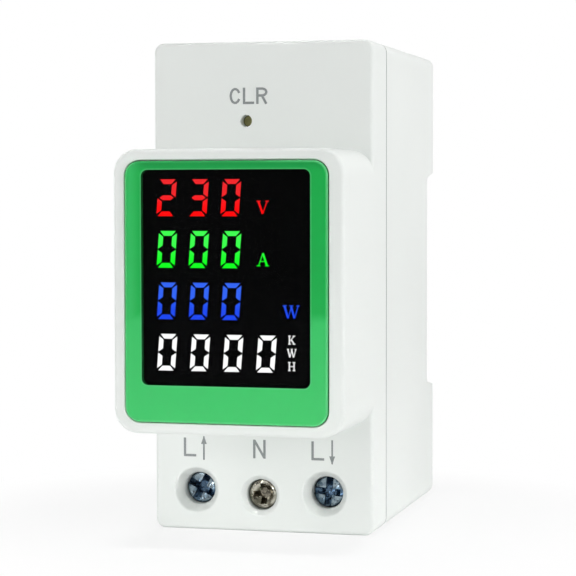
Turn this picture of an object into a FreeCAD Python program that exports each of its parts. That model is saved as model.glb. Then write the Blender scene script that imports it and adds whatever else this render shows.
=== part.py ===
import FreeCAD, Part

import math
import os

# Two-module power meter for a 35 mm mounting rail. Millimetres, +Z up, the display faces -Y.
# The origin is the middle of the bottom face. "Depth" is measured back from the housing's front face.

# Housing
MODULE_WIDTH = 18.0
MODULES = 2
TERMINAL_ZONE = 17.6
TOP_ZONE = 17.3
WALL = 1.8
FRONT_WALL = 2.0
EDGE_RADIUS = 1.5
FACE_FILLET = 0.6
BACK_FILLET = 1.2
SEAM_DEPTH = 9.5
SEAM_GAP = 0.3
SEAM_LIP_INSET = 1.0

# Display hood on the front
HOOD_DEPTH = 19.8
HOOD_RIM = 1.8
HOOD_SIDE_RIM = 2.2
HOOD_CORNER = 3.7
HOOD_WALL = 2.2

# Fascia and window
FASCIA_BAR_TOP = 1.35
FASCIA_BAR_BOTTOM = 5.65
FASCIA_BAR_SIDE = 2.65
FASCIA_CORNER = 2.3
FASCIA_PROUD = 0.3
FASCIA_THICKNESS = 1.6
FASCIA_EDGE_ROUND = 0.25
FASCIA_CLEARANCE = 0.12
FASCIA_POCKET_ROUND = 0.2
FASCIA_OFFSET_X = -0.28
WINDOW_ABOVE_DIGITS = 1.42
WINDOW_BELOW_DIGITS = 2.12
WINDOW_CORNER = 1.0
WINDOW_FLANGE = 0.9
WINDOW_FLANGE_THICKNESS = 0.6
WINDOW_CLEARANCE = 0.02
DISPLAY_OPENING_MARGIN = 0.3

# Light-emitting display module
MODULE_BORDER = 0.8
MODULE_GAP = 0.1
MODULE_CORNER = 0.6
SEGMENT_PIPE_DEPTH = 0.5
SEGMENT_PIPE_PROUD = 0.03
DIGIT_HEIGHT = 5.56
DIGIT_WIDTH = 2.84
DIGIT_SLANT_DEG = 4.5
DIGIT_BAR = 0.72
DIGIT_STEM = 0.7
SEGMENT_GAP = 0.21
FIRST_DIGIT_X = -9.92
DIGIT_PITCH = 5.06
ENERGY_DIGIT_PITCH = 5.2
ROWS = 4
ROW_GAP = 2.24
UNIT_HEIGHT = 2.02
UNIT_WIDTH = 1.92
UNIT_NEAR_X = 4.2
UNIT_FAR_X = 8.22
UNIT_FAR_WIDTH = 2.6
UNIT_RISE = 0.32
UNIT_STACK_CENTRE_X = 9.6
UNIT_STACK_WIDTHS = {"H": 1.2, "W": 1.5, "K": 1.14}
UNIT_STACK_HEIGHT = 1.32
UNIT_STACK_STEP = 1.98
UNIT_THICK_STROKE = 0.3
UNIT_THIN_STROKE = 0.13
UNIT_STACK_STROKES = (0.18, 0.12)
PIN_COUNT = 8
MODULE_PIN_RADIUS = 0.25
MODULE_PIN_LENGTH = 2.4

# Circuit boards
BOARD_THICKNESS = 1.2
BOARD_WALL_CLEARANCE = 1.6
BOARD_HOLE_CLEARANCE = 0.1
DISPLAY_BOARD_DEPTH = -10.0
CONTROL_BOARD_DEPTH = 7.0
CONTROL_BOARD_BOTTOM = 38.5
TOROID_BOARD_GAP = 3.3
POWER_BOARD_BELOW_TAB = 0.8
BOARD_TOP_GAP = 1.7
POWER_BOARD_WALL_CLEARANCE = 0.8
DISPLAY_BOARD_CLEARANCE = 0.5
DISPLAY_LEDGE_WIDTH = 1.6
LEDGE_WIDTH = 2.4
LEDGE_THICKNESS = 1.6
LEDGE_HEIGHT = 6.0
POST_RADIUS = 1.9
POST_X = 12.2
DISPLAY_POST_INSET = 1.7
BOARD_SCREW_RADIUS = 1.0
BOARD_SCREW_HEAD_RADIUS = 1.8
BOARD_SCREW_HEAD_HEIGHT = 1.2
BOARD_SCREW_GRIP = 4.5
BOARD_SCREW_HOLE_CLEARANCE = 0.15

# Pin headers between the boards
LINK_PINS = 4
LINK_STEP = 2.54
LINK_PIN_SIDE = 0.64
LINK_HEADER_HEIGHT = 2.5
LINK_PIN_STUB = 1.2
DISPLAY_LINK_BELOW_HOOD_TOP = 12.7
POWER_LINK_BELOW_BOARD_TOP = 4.0

# Reset switch behind the pin-hole
RESET_X = -2.7
RESET_ABOVE_HOOD = 4.8
PINHOLE_RADIUS = 0.95
PINHOLE_ROUND = 0.15
PLUNGER_RADIUS = 0.85
PLUNGER_DEPTH = 2.05
PLUNGER_FLANGE_RADIUS = 1.6
PLUNGER_FLANGE_THICKNESS = 0.5
PLUNGER_CLEARANCE = 0.05
PLUNGER_TRAVEL = 0.25
SWITCH_SIDE = 6.0
SWITCH_HEIGHT = 3.2
SWITCH_COVER = 0.4
SWITCH_LEG_WIDTH = 0.7

# Terminals along the bottom edge: line in, neutral, line out
TERMINAL_STEP = 10.6
TERMINAL_CENTRE_X = -0.5
LINE_SCREW_Z = 6.4
NEUTRAL_SCREW_Z = 5.8
LINE_HEAD_RADIUS = 2.52
LINE_HEAD_DEPTH = 3.0
LINE_HEAD_HEIGHT = 2.4
LINE_THREAD_RADIUS = 2.0
LINE_WELL_MOUTH_RADIUS = 3.6
LINE_FUNNEL_DEPTH = 1.8
LINE_BAR_WIDTH = 6.4
LINE_BAR_THICKNESS = 1.8
LINE_CLOSED_GAP = 1.4
LINE_CLAMP_TURNS = 8
LINE_THREAD_PITCH = 0.7
NEUTRAL_HEAD_RADIUS = 2.42
NEUTRAL_HEAD_DEPTH = 1.9
NEUTRAL_HEAD_HEIGHT = 2.4
NEUTRAL_THREAD_RADIUS = 1.75
NEUTRAL_WELL_MOUTH_RADIUS = 3.18
NEUTRAL_FUNNEL_DEPTH = 0.9
NEUTRAL_BAR_WIDTH = 5.0
NEUTRAL_BAR_THICKNESS = 1.2
NEUTRAL_CLOSED_GAP = 0.9
NEUTRAL_CLAMP_TURNS = 8
NEUTRAL_THREAD_PITCH = 0.6
HEAD_CLEARANCE = 0.1
WELL_MOUTH_ROUND = 0.4
WELL_WALL = 1.4
COLLAR_THICKNESS = 1.2
WIRE_ENTRY_MARGIN = 0.2
WIRE_ENTRY_CORNER = 1.2
COLLAR_CLEARANCE = 0.2
SCREW_SEAT_GAP = 0.1
SCREW_TIP_GAP = 0.05
THREAD_CLEARANCE = 0.06
LINE_DRIVE_WIDTH = 1.15
NEUTRAL_DRIVE_WIDTH = 0.95
DRIVE_DEPTH = 1.5
DRIVE_TIP = 0.35
SLOT_DEPTH = 0.9
LINE_CROSS_LENGTH = 5.3
NEUTRAL_CROSS_LENGTH = 3.4
NEUTRAL_DISH_RADIUS = 1.8
NEUTRAL_DISH_DEPTH = 0.6
NEUTRAL_DISH_FLOOR = 0.9
HEAD_ROUND = 0.45
LINE_IN_LEAN_DEG = 28.0
LINE_OUT_LEAN_DEG = 5.0
NEUTRAL_LEAN_DEG = -2.0
BAR_DEPTH = 16.0
BAR_TO_CAGE = 0.2
CAGE_SIDE_WALL = 0.9
CAGE_FRONT_WALL = 2.0
CAGE_REAR_WALL = 1.5
CAGE_HALF_HEIGHT = 4.0
CAGE_BAR_GAP = 0.6
CAGE_EDGE_ROUND = 0.4
BAR_FLOOR_GAP = 0.3
CAGE_FLOOR_GAP = 0.6
PARTITION_THICKNESS = 1.2
PARTITION_ABOVE_CAGE = 0.5
PARTITION_SEAM_GAP = 0.4
POCKET_WALL_GAP = 0.3

# Current transformer on the line bar
TOROID_RADIUS = 10.8
TOROID_BORE_RADIUS = 4.9
TOROID_LENGTH = 9.0
TOROID_EDGE_ROUND = 1.6
TOROID_TAB_GAP = 0.8
SLEEVE_CLEARANCE = 0.1
SLEEVE_OVERHANG = 0.8
TRANSFORMER_LEAD_RADIUS = 0.5
TRANSFORMER_LEAD_SPACING = 5.0
TAB_ABOVE_PARTITION = 1.1
TAB_THROUGH_BOARD = 0.8
LINE_TAP_SIDE = 1.0
LINE_TAP_RISE = 1.2

# Parts on the boards
BULK_CAPACITOR_RADIUS = 5.0
BULK_CAPACITOR_HEIGHT = 15.0
BULK_CAPACITOR_PLACE = (-9.2, 47.0)
FILTER_CAPACITOR_RADIUS = 3.2
FILTER_CAPACITOR_HEIGHT = 9.0
FILTER_CAPACITOR_PLACE = (2.6, 46.0)
FILM_CAPACITOR_SIZE = (17.0, 14.0, 7.5)
FILM_CAPACITOR_PLACE = (-4.5, 60.0)
VARISTOR_RADIUS = 5.0
VARISTOR_THICKNESS = 4.0
VARISTOR_PLACE = (11.0, 58.0)
FUSE_RESISTOR_RADIUS = 2.0
FUSE_RESISTOR_LENGTH = 10.0
FUSE_RESISTOR_PLACE = (7.4, 38.6)
INDUCTOR_RADIUS = 3.8
INDUCTOR_HEIGHT = 8.0
INDUCTOR_PLACE = (10.2, 47.0)
LEAD_RADIUS = 0.35
LEAD_STANDOFF = 1.2
METERING_CHIP_SIZE = (9.9, 3.9, 1.5)
METERING_CHIP_PLACE = (5.5, 62.0)
CONTROLLER_CHIP_SIZE = (7.0, 7.0, 1.4)
CONTROLLER_CHIP_PLACE = (0.0, 34.0)
RECTIFIER_SIZE = (6.4, 4.0, 2.4)
RECTIFIER_PLACE = (-7.0, 36.6)
CHIP_LEAD_WIDTH = 0.4
CHIP_LEAD_REACH = 1.0
CHIP_LEAD_HEIGHT = 0.6
CHIP_BOARD_GAP = 0.1

# Rail seat at the back
RAIL_HEIGHT = 35.0
RAIL_FLANGE = 1.0
RAIL_CENTRE_Z = 38.7
RAIL_CLEARANCE = 0.6
RECESS_FLOOR_DEPTH = 44.0
RECESS_DEPTH_AT_RAIL = 6.5
RECESS_FLARE = 1.0
RECESS_ROUND = 0.9
RAIL_GRIP = 1.6
RAIL_SLACK = 0.3
HOOK_HALF_WIDTH = 14.0
HOOK_LEAD_IN = 2.2

# Latch that holds the rail's lower edge
LATCH_HALF_WIDTH = 5.0
LATCH_THICKNESS = 3.8
LATCH_CLEARANCE = 0.2
LATCH_FLANGE_REACH = 1.4
LATCH_FLANGE_THICKNESS = 1.0
LATCH_BOTTOM = 0.7
LATCH_TRAVEL = 3.0
LATCH_JAW_SLOPE = 1.6
LATCH_SLOT_HALF_WIDTH = 2.6
LATCH_SLOT_HEIGHT = 1.5
LATCH_SLOT_Z = 1.8
PEG_Z = 5.2
PEG_HEIGHT = 1.5
PEG_HALF_WIDTH = 1.7
SPRING_SQUEEZED = 4.0
SPRING_RADIUS = 1.35
SPRING_WIRE_RADIUS = 0.22
SPRING_TURNS = 6
SPRING_END_GAP = 0.03

# Snaps that join the two shells
SNAP_THICKNESS = 1.2
SNAP_HALF_WIDTH = 3.0
SNAP_REACH = 6.0
SNAP_BARB = 0.6
SNAP_BARB_LENGTH = 1.5
SNAP_CLEARANCE = 0.15
SNAP_LEVELS = (31.0, 49.0)

# Printed marks on the front face
INK_THICKNESS = 0.04
INK_STROKE = 0.38
INK_THIN_STROKE = 0.27
LABEL_HEIGHT = 2.6
LABEL_ABOVE_RESET = 2.65
LABEL_LETTER_WIDTH = 1.85
LABEL_LETTER_PITCH = 2.2
LABEL_LEFT_X = -5.4
MARK_HEIGHT = 3.0
MARK_ABOVE_WELL = 1.75
MARK_WIDTH = 2.1
LINE_MARK_OFFSET = -2.15
NEUTRAL_MARK_OFFSET = -1.15
ARROW_OFFSET = 1.25
ARROW_LENGTH = 4.05
ARROW_HEAD = 1.35
ARROW_HEAD_WIDTH = 0.95
ARROW_BELOW_MARK = 0.65

# Derived places
HALF_WIDTH = MODULE_WIDTH * MODULES / 2
INNER_HALF = HALF_WIDTH - WALL
ROW_STEP = DIGIT_HEIGHT + ROW_GAP
WINDOW_WIDTH = MODULE_WIDTH * MODULES - 2 * HOOD_SIDE_RIM - 2 * FASCIA_BAR_SIDE
WINDOW_HEIGHT = ROWS * DIGIT_HEIGHT + (ROWS - 1) * ROW_GAP + WINDOW_ABOVE_DIGITS + WINDOW_BELOW_DIGITS
FASCIA_WIDTH = WINDOW_WIDTH + 2 * FASCIA_BAR_SIDE
FASCIA_HEIGHT = WINDOW_HEIGHT + FASCIA_BAR_TOP + FASCIA_BAR_BOTTOM
HOOD_BOTTOM = TERMINAL_ZONE
HOOD_TOP = HOOD_BOTTOM + FASCIA_HEIGHT + 2 * HOOD_RIM
HOUSING_HEIGHT = HOOD_TOP + TOP_ZONE
HOUSING_DEPTH = RECESS_FLOOR_DEPTH + RECESS_DEPTH_AT_RAIL
FRONT_DEPTH = -(HOOD_DEPTH + FASCIA_PROUD)
FACE_Y = -(FRONT_DEPTH + HOUSING_DEPTH) / 2
FASCIA_REAR = FRONT_DEPTH + FASCIA_THICKNESS
FASCIA_BOTTOM = HOOD_BOTTOM + HOOD_RIM
FASCIA_TOP = HOOD_TOP - HOOD_RIM
WINDOW_TOP = FASCIA_TOP - FASCIA_BAR_TOP
WINDOW_BOTTOM = FASCIA_BOTTOM + FASCIA_BAR_BOTTOM
TOP_ROW_Z = WINDOW_TOP - WINDOW_ABOVE_DIGITS - DIGIT_HEIGHT / 2
MODULE_FRONT = FASCIA_REAR + MODULE_GAP
HOOD_INNER_FRONT = -HOOD_DEPTH + HOOD_WALL
RESET_Z = HOOD_TOP + RESET_ABOVE_HOOD
LABEL_BASE_Z = RESET_Z + LABEL_ABOVE_RESET
MARK_BASE_Z = LINE_SCREW_Z + LINE_WELL_MOUTH_RADIUS + MARK_ABOVE_WELL
ARROW_BASE_Z = MARK_BASE_Z - ARROW_BELOW_MARK
CONTROL_BOARD_TOP = HOUSING_HEIGHT - WALL - BOARD_TOP_GAP
POWER_BOARD_TOP = HOUSING_HEIGHT - WALL - BOARD_TOP_GAP
DISPLAY_LINK_Z = HOOD_TOP - DISPLAY_LINK_BELOW_HOOD_TOP
POWER_LINK_Z = CONTROL_BOARD_TOP - POWER_LINK_BELOW_BOARD_TOP
BOARD_HALF = INNER_HALF - BOARD_WALL_CLEARANCE
POWER_BOARD_HALF = INNER_HALF - POWER_BOARD_WALL_CLEARANCE
DISPLAY_BOARD_BOTTOM = HOOD_BOTTOM + WALL + BOARD_WALL_CLEARANCE / 2
DISPLAY_BOARD_TOP = HOOD_TOP - WALL - BOARD_WALL_CLEARANCE / 2
LINE_IN_X = TERMINAL_CENTRE_X - TERMINAL_STEP
LINE_OUT_X = TERMINAL_CENTRE_X + TERMINAL_STEP
LINE_CAGE_TRAVEL = LINE_CLAMP_TURNS * LINE_THREAD_PITCH
LINE_WIRE_GAP = LINE_CAGE_TRAVEL + LINE_CLOSED_GAP
NEUTRAL_CAGE_TRAVEL = NEUTRAL_CLAMP_TURNS * NEUTRAL_THREAD_PITCH
NEUTRAL_WIRE_GAP = NEUTRAL_CAGE_TRAVEL + NEUTRAL_CLOSED_GAP
LINE_BAR_REAR = BAR_DEPTH + LINE_BAR_THICKNESS
NEUTRAL_BAR_REAR = BAR_DEPTH + NEUTRAL_BAR_THICKNESS
LINE_CAGE_REAR = LINE_BAR_REAR + LINE_WIRE_GAP + CAGE_REAR_WALL
POWER_BOARD_DEPTH = BAR_DEPTH + LINE_BAR_THICKNESS / 2 + TOROID_RADIUS + TOROID_BOARD_GAP
PARTITION_TOP = LINE_SCREW_Z + CAGE_HALF_HEIGHT + PARTITION_ABOVE_CAGE
NEUTRAL_TAB_LEVEL = PARTITION_TOP + TAB_ABOVE_PARTITION
POWER_BOARD_BOTTOM = NEUTRAL_TAB_LEVEL - POWER_BOARD_BELOW_TAB
TOROID_CENTRE_Z = NEUTRAL_TAB_LEVEL + NEUTRAL_BAR_THICKNESS + TOROID_TAB_GAP + TOROID_RADIUS
LINE_TAP_Z = TOROID_CENTRE_Z + LINE_TAP_RISE
RECESS_BOTTOM = RAIL_CENTRE_Z - RAIL_HEIGHT / 2 - RAIL_CLEARANCE
RECESS_TOP = RAIL_CENTRE_Z + RAIL_HEIGHT / 2 + RAIL_CLEARANCE
RAIL_BOTTOM = RAIL_CENTRE_Z - RAIL_HEIGHT / 2
RAIL_TOP = RAIL_CENTRE_Z + RAIL_HEIGHT / 2
GRIP_DEPTH = RECESS_FLOOR_DEPTH + RAIL_FLANGE + RAIL_SLACK
LATCH_FRONT = GRIP_DEPTH + LATCH_CLEARANCE
LATCH_REAR = LATCH_FRONT + LATCH_THICKNESS
LATCH_MIDDLE = (LATCH_FRONT + LATCH_REAR) / 2
SPRING_SPACE = LATCH_TRAVEL + SPRING_SQUEEZED
SPRING_BOTTOM = PEG_Z + PEG_HEIGHT
SPRING_TOP = SPRING_BOTTOM + SPRING_SPACE
OVERRUN = 1.0


def vector(x, depth, z):
    """A point from its place across, its depth behind the housing's front face, and its height."""
    return FreeCAD.Vector(x, FACE_Y + depth, z)


def block(x0, x1, depth0, depth1, z0, z1):
    return Part.makeBox(x1 - x0, depth1 - depth0, z1 - z0, vector(x0, depth0, z0))


def rod_back(x, z, depth0, depth1, radius):
    """A cylinder whose axis runs from front to back."""
    return Part.makeCylinder(radius, depth1 - depth0, vector(x, depth0, z), FreeCAD.Vector(0, 1, 0))


def cone_back(x, z, depth0, depth1, radius0, radius1):
    axis = FreeCAD.Vector(0, 1, 0)
    return Part.makeCone(radius0, radius1, depth1 - depth0, vector(x, depth0, z), axis)


def rod_up(x, depth, z0, z1, radius):
    return Part.makeCylinder(radius, z1 - z0, vector(x, depth, z0))


def rod_across(x0, x1, depth, z, radius):
    return Part.makeCylinder(radius, x1 - x0, vector(x0, depth, z), FreeCAD.Vector(1, 0, 0))


def front_prism(points, depth0, depth1):
    """A flat outline seen from the front, given as (x, z), made solid from depth0 back to depth1."""
    corners = [vector(x, depth0, z) for x, z in points]
    face = Part.Face(Part.makePolygon(corners + corners[:1]))
    return face.extrude(FreeCAD.Vector(0, depth1 - depth0, 0))


def side_prism(points, x0, x1):
    """A flat outline seen from the side, given as (depth, z), made solid from x0 to x1."""
    corners = [vector(x0, depth, z) for depth, z in points]
    face = Part.Face(Part.makePolygon(corners + corners[:1]))
    return face.extrude(FreeCAD.Vector(x1 - x0, 0, 0))


def straight_edges(shape, direction):
    """The straight edges that run along a direction."""
    found = []
    for edge in shape.Edges:
        if len(edge.Vertexes) == 2:
            run = edge.Vertexes[1].Point - edge.Vertexes[0].Point
            if run.Length > 1e-6 and abs(abs(run.normalize().dot(direction)) - 1) < 1e-6:
                found.append(edge)
    return found


def edges_at_depth(shape, depth):
    """The edges that lie in the plane at one depth."""
    y = FACE_Y + depth
    return [e for e in shape.Edges if abs(e.BoundBox.YMin - y) < 1e-4 and abs(e.BoundBox.YMax - y) < 1e-4]


def rounded_plate(x0, x1, depth0, depth1, z0, z1, radius):
    """A plate seen from the front, with round corners."""
    plate = block(x0, x1, depth0, depth1, z0, z1)
    return plate.makeFillet(radius, straight_edges(plate, FreeCAD.Vector(0, 1, 0)))


def fused(shapes):
    first = shapes[0]
    return first.fuse(shapes[1:]).removeSplitter() if len(shapes) > 1 else first


def save(name, shape):
    shape.exportStep("parts/" + name + ".step")


# Terminal screws, cages and wells share these rows: place across, screw height and the two sizes
def line_terminal(x):
    return {
        "x": x, "z": LINE_SCREW_Z, "head_radius": LINE_HEAD_RADIUS, "head_depth": LINE_HEAD_DEPTH,
        "head_height": LINE_HEAD_HEIGHT, "thread_radius": LINE_THREAD_RADIUS, "drive_width": LINE_DRIVE_WIDTH,
        "mouth_radius": LINE_WELL_MOUTH_RADIUS, "funnel_depth": LINE_FUNNEL_DEPTH,
        "bar_width": LINE_BAR_WIDTH, "bar_rear": LINE_BAR_REAR, "wire_gap": LINE_WIRE_GAP,
    }


def neutral_terminal(x):
    return {
        "x": x, "z": NEUTRAL_SCREW_Z, "head_radius": NEUTRAL_HEAD_RADIUS,
        "head_depth": NEUTRAL_HEAD_DEPTH, "head_height": NEUTRAL_HEAD_HEIGHT,
        "thread_radius": NEUTRAL_THREAD_RADIUS, "drive_width": NEUTRAL_DRIVE_WIDTH,
        "mouth_radius": NEUTRAL_WELL_MOUTH_RADIUS, "funnel_depth": NEUTRAL_FUNNEL_DEPTH,
        "bar_width": NEUTRAL_BAR_WIDTH, "bar_rear": NEUTRAL_BAR_REAR, "wire_gap": NEUTRAL_WIRE_GAP,
    }


TERMINALS = {
    "line_in": line_terminal(LINE_IN_X),
    "neutral": neutral_terminal(TERMINAL_CENTRE_X),
    "line_out": line_terminal(LINE_OUT_X),
}


def collar_depth(terminal):
    """Where the well narrows to the collar that keeps the screw's head in."""
    return terminal["head_depth"] + terminal["head_height"] + SCREW_SEAT_GAP


def bore_radius(terminal):
    return terminal["head_radius"] + HEAD_CLEARANCE


def well_boss(terminal):
    """The tube behind the front wall that the screw's head sits in."""
    radius = bore_radius(terminal) + WELL_WALL
    rear = collar_depth(terminal) + COLLAR_THICKNESS
    return rod_back(terminal["x"], terminal["z"], FRONT_WALL / 2, rear, radius)


def well_hollow(terminal):
    """The funnel mouth, the bore and the hole through the collar."""
    x, z = terminal["x"], terminal["z"]
    collar = collar_depth(terminal)
    shank = terminal["thread_radius"] + COLLAR_CLEARANCE
    funnel = cone_back(x, z, 0, terminal["funnel_depth"], terminal["mouth_radius"], bore_radius(terminal))
    bore = rod_back(x, z, 0, collar, bore_radius(terminal))
    hole = rod_back(x, z, collar - OVERRUN, collar + COLLAR_THICKNESS + OVERRUN, shank)
    return fused([funnel, bore, hole])


def post(x, z, depth0, depth1, open_end):
    """A moulded post with a pilot hole for a board screw, opened at its board end."""
    pilot = BOARD_SCREW_RADIUS
    body = rod_back(x, z, depth0, depth1, POST_RADIUS)
    deep = BOARD_SCREW_GRIP + BOARD_HOLE_CLEARANCE
    if open_end == "rear":
        return body.cut(rod_back(x, z, depth1 - deep, depth1 + OVERRUN, pilot))
    return body.cut(rod_back(x, z, depth0 - OVERRUN, depth0 + deep, pilot))


def snap_places():
    return [(side, z) for side in (-1, 1) for z in SNAP_LEVELS]


def mirrored_block(side, near, far, depth0, depth1, z0, z1):
    """A block on the left or the right, from x near the middle to x far from it."""
    x0, x1 = sorted((side * near, side * far))
    return block(x0, x1, depth0, depth1, z0, z1)


def snap_arm(side, z):
    """A springy arm inside the front shell's wall, with a barb that catches in the rear shell."""
    outer = INNER_HALF - SNAP_CLEARANCE
    inner = outer - SNAP_THICKNESS
    tip = SEAM_DEPTH + SNAP_REACH
    arm = mirrored_block(side, inner, outer, SEAM_DEPTH / 2, tip, z - SNAP_HALF_WIDTH, z + SNAP_HALF_WIDTH)
    root = mirrored_block(side, inner, INNER_HALF + WALL / 2, SEAM_DEPTH / 2, SEAM_DEPTH - SNAP_CLEARANCE,
                          z - SNAP_HALF_WIDTH, z + SNAP_HALF_WIDTH)
    profile = [(tip - SNAP_BARB_LENGTH, outer), (tip - SNAP_BARB_LENGTH, outer + SNAP_BARB), (tip, outer)]
    corners = [FreeCAD.Vector(side * x, FACE_Y + depth, z - SNAP_HALF_WIDTH) for depth, x in profile]
    profile_face = Part.Face(Part.makePolygon(corners + corners[:1]))
    barb = profile_face.extrude(FreeCAD.Vector(0, 0, 2 * SNAP_HALF_WIDTH))
    return fused([arm, root, barb])


def snap_pocket(side, z):
    """The pocket in the rear shell's wall that the barb catches in."""
    tip = SEAM_DEPTH + SNAP_REACH
    half = SNAP_HALF_WIDTH + SNAP_CLEARANCE
    return mirrored_block(side, INNER_HALF - OVERRUN, INNER_HALF + SNAP_BARB,
                          tip - SNAP_BARB_LENGTH - SNAP_CLEARANCE, tip + SNAP_CLEARANCE, z - half, z + half)


def display_posts():
    z = DISPLAY_BOARD_BOTTOM + DISPLAY_POST_INSET
    return [(-POST_X, z), (POST_X, z)]


def control_posts():
    z = CONTROL_BOARD_TOP - POST_RADIUS - BOARD_WALL_CLEARANCE
    return [(-POST_X, z), (POST_X, z)]


def power_posts():
    z = POWER_BOARD_TOP - POST_RADIUS - BOARD_WALL_CLEARANCE
    return [(-POST_X, z), (POST_X, z)]


def front_shell():
    """The front moulding: face, display hood, screw wells, pin-hole, board posts and snap arms."""
    face = rounded_plate(-HALF_WIDTH, HALF_WIDTH, 0, SEAM_DEPTH, 0, HOUSING_HEIGHT, EDGE_RADIUS)
    face = face.makeFillet(FACE_FILLET, edges_at_depth(face, 0))
    hood = rounded_plate(-HALF_WIDTH, HALF_WIDTH, -HOOD_DEPTH, FRONT_WALL, HOOD_BOTTOM, HOOD_TOP, HOOD_CORNER)
    hood = hood.makeFillet(FACE_FILLET, edges_at_depth(hood, -HOOD_DEPTH))
    inside = block(-INNER_HALF, INNER_HALF, FRONT_WALL, SEAM_DEPTH + OVERRUN, WALL, HOUSING_HEIGHT - WALL)
    hood_inside = rounded_plate(-INNER_HALF, INNER_HALF, HOOD_INNER_FRONT, FRONT_WALL + OVERRUN,
                                HOOD_BOTTOM + WALL, HOOD_TOP - WALL, HOOD_CORNER - WALL)
    shell = face.fuse(hood).cut([inside, hood_inside])
    shell = shell.cut([fascia_pocket(), display_opening()])
    shell = shell.makeFillet(FASCIA_POCKET_ROUND, fascia_pocket_mouth(shell))
    added = [well_boss(t) for t in TERMINALS.values()]
    hood_foot = HOOD_INNER_FRONT - HOOD_WALL / 4
    added += [post(x, z, hood_foot, DISPLAY_BOARD_DEPTH, "rear") for x, z in display_posts()]
    added += [post(x, z, FRONT_WALL / 2, CONTROL_BOARD_DEPTH, "rear") for x, z in control_posts()]
    added += [snap_arm(side, z) for side, z in snap_places()]
    for side in (-1, 1):
        added.append(mirrored_block(side, INNER_HALF - DISPLAY_LEDGE_WIDTH, INNER_HALF + WALL / 2,
                                    DISPLAY_BOARD_DEPTH - LEDGE_THICKNESS, DISPLAY_BOARD_DEPTH,
                                    DISPLAY_BOARD_TOP - LEDGE_HEIGHT - HOOD_CORNER,
                                    DISPLAY_BOARD_TOP - HOOD_CORNER))
        added.append(mirrored_block(side, INNER_HALF - LEDGE_WIDTH, INNER_HALF + WALL / 2,
                                    CONTROL_BOARD_DEPTH - LEDGE_THICKNESS, CONTROL_BOARD_DEPTH,
                                    CONTROL_BOARD_BOTTOM, CONTROL_BOARD_BOTTOM + LEDGE_HEIGHT))
    shell = shell.fuse(added)
    pinhole = rod_back(RESET_X, RESET_Z, -OVERRUN, FRONT_WALL + OVERRUN, PINHOLE_RADIUS)
    hollows = [well_hollow(t) for t in TERMINALS.values()]
    shell = shell.cut(hollows + [pinhole]).removeSplitter()
    mouths = [e for e in edges_at_depth(shell, 0) if e.Closed]
    wells = [e for e in mouths if e.Curve.Radius > PINHOLE_RADIUS + PINHOLE_ROUND]
    shell = shell.makeFillet(WELL_MOUTH_ROUND, wells)
    rims = [e for e in edges_at_depth(shell, 0) if e.Closed and abs(e.Curve.Radius - PINHOLE_RADIUS) < 1e-4]
    return shell.makeFillet(PINHOLE_ROUND, rims)


def fascia_pocket():
    """The shallow pocket in the hood's front that the fascia is glued into."""
    half = FASCIA_WIDTH / 2 + FASCIA_CLEARANCE
    return rounded_plate(FASCIA_OFFSET_X - half, FASCIA_OFFSET_X + half, -HOOD_DEPTH - OVERRUN, FASCIA_REAR,
                         FASCIA_BOTTOM - FASCIA_CLEARANCE, FASCIA_TOP + FASCIA_CLEARANCE,
                         FASCIA_CORNER + FASCIA_CLEARANCE)


def fascia_pocket_mouth(shell):
    """The edges round the pocket's mouth, in the plane of the hood's front."""
    room = fascia_pocket().BoundBox
    room.enlarge(FASCIA_CLEARANCE / 2)
    return [e for e in edges_at_depth(shell, -HOOD_DEPTH)
            if e.BoundBox.XMin > room.XMin and e.BoundBox.XMax < room.XMax
            and e.BoundBox.ZMin > room.ZMin and e.BoundBox.ZMax < room.ZMax]


def module_half_width():
    return WINDOW_WIDTH / 2 + MODULE_BORDER


def display_opening():
    """The opening behind the fascia that the display module looks through."""
    half = module_half_width() + DISPLAY_OPENING_MARGIN
    return rounded_plate(FASCIA_OFFSET_X - half, FASCIA_OFFSET_X + half,
                         -HOOD_DEPTH, HOOD_INNER_FRONT + OVERRUN,
                         WINDOW_BOTTOM - MODULE_BORDER - DISPLAY_OPENING_MARGIN,
                         WINDOW_TOP + MODULE_BORDER + DISPLAY_OPENING_MARGIN, MODULE_CORNER)


def rail_recess():
    """The recess across the back that the mounting rail lies in, flared towards the back."""
    back = HOUSING_DEPTH + OVERRUN
    flare = RECESS_FLARE * (back - RECESS_FLOOR_DEPTH) / (HOUSING_DEPTH - RECESS_FLOOR_DEPTH)
    outline = [(RECESS_FLOOR_DEPTH, RECESS_BOTTOM), (RECESS_FLOOR_DEPTH, RECESS_TOP),
               (back, RECESS_TOP + flare), (back, RECESS_BOTTOM - flare)]
    recess = side_prism(outline, -HALF_WIDTH - OVERRUN, HALF_WIDTH + OVERRUN)
    corners = [e for e in edges_at_depth(recess, RECESS_FLOOR_DEPTH) if e.Length > HALF_WIDTH * 2]
    return recess.makeFillet(RECESS_ROUND, corners)


def rail_hook():
    """The fixed lip that goes behind the rail's upper edge."""
    tip = RAIL_TOP - RAIL_GRIP
    top = RECESS_TOP + RECESS_FLARE + WALL
    outline = [(GRIP_DEPTH, tip), (GRIP_DEPTH + RAIL_FLANGE, tip),
               (HOUSING_DEPTH - BACK_FILLET, tip + HOOK_LEAD_IN), (HOUSING_DEPTH - BACK_FILLET, top),
               (GRIP_DEPTH, top)]
    return side_prism(outline, -HOOK_HALF_WIDTH, HOOK_HALF_WIDTH)


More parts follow.
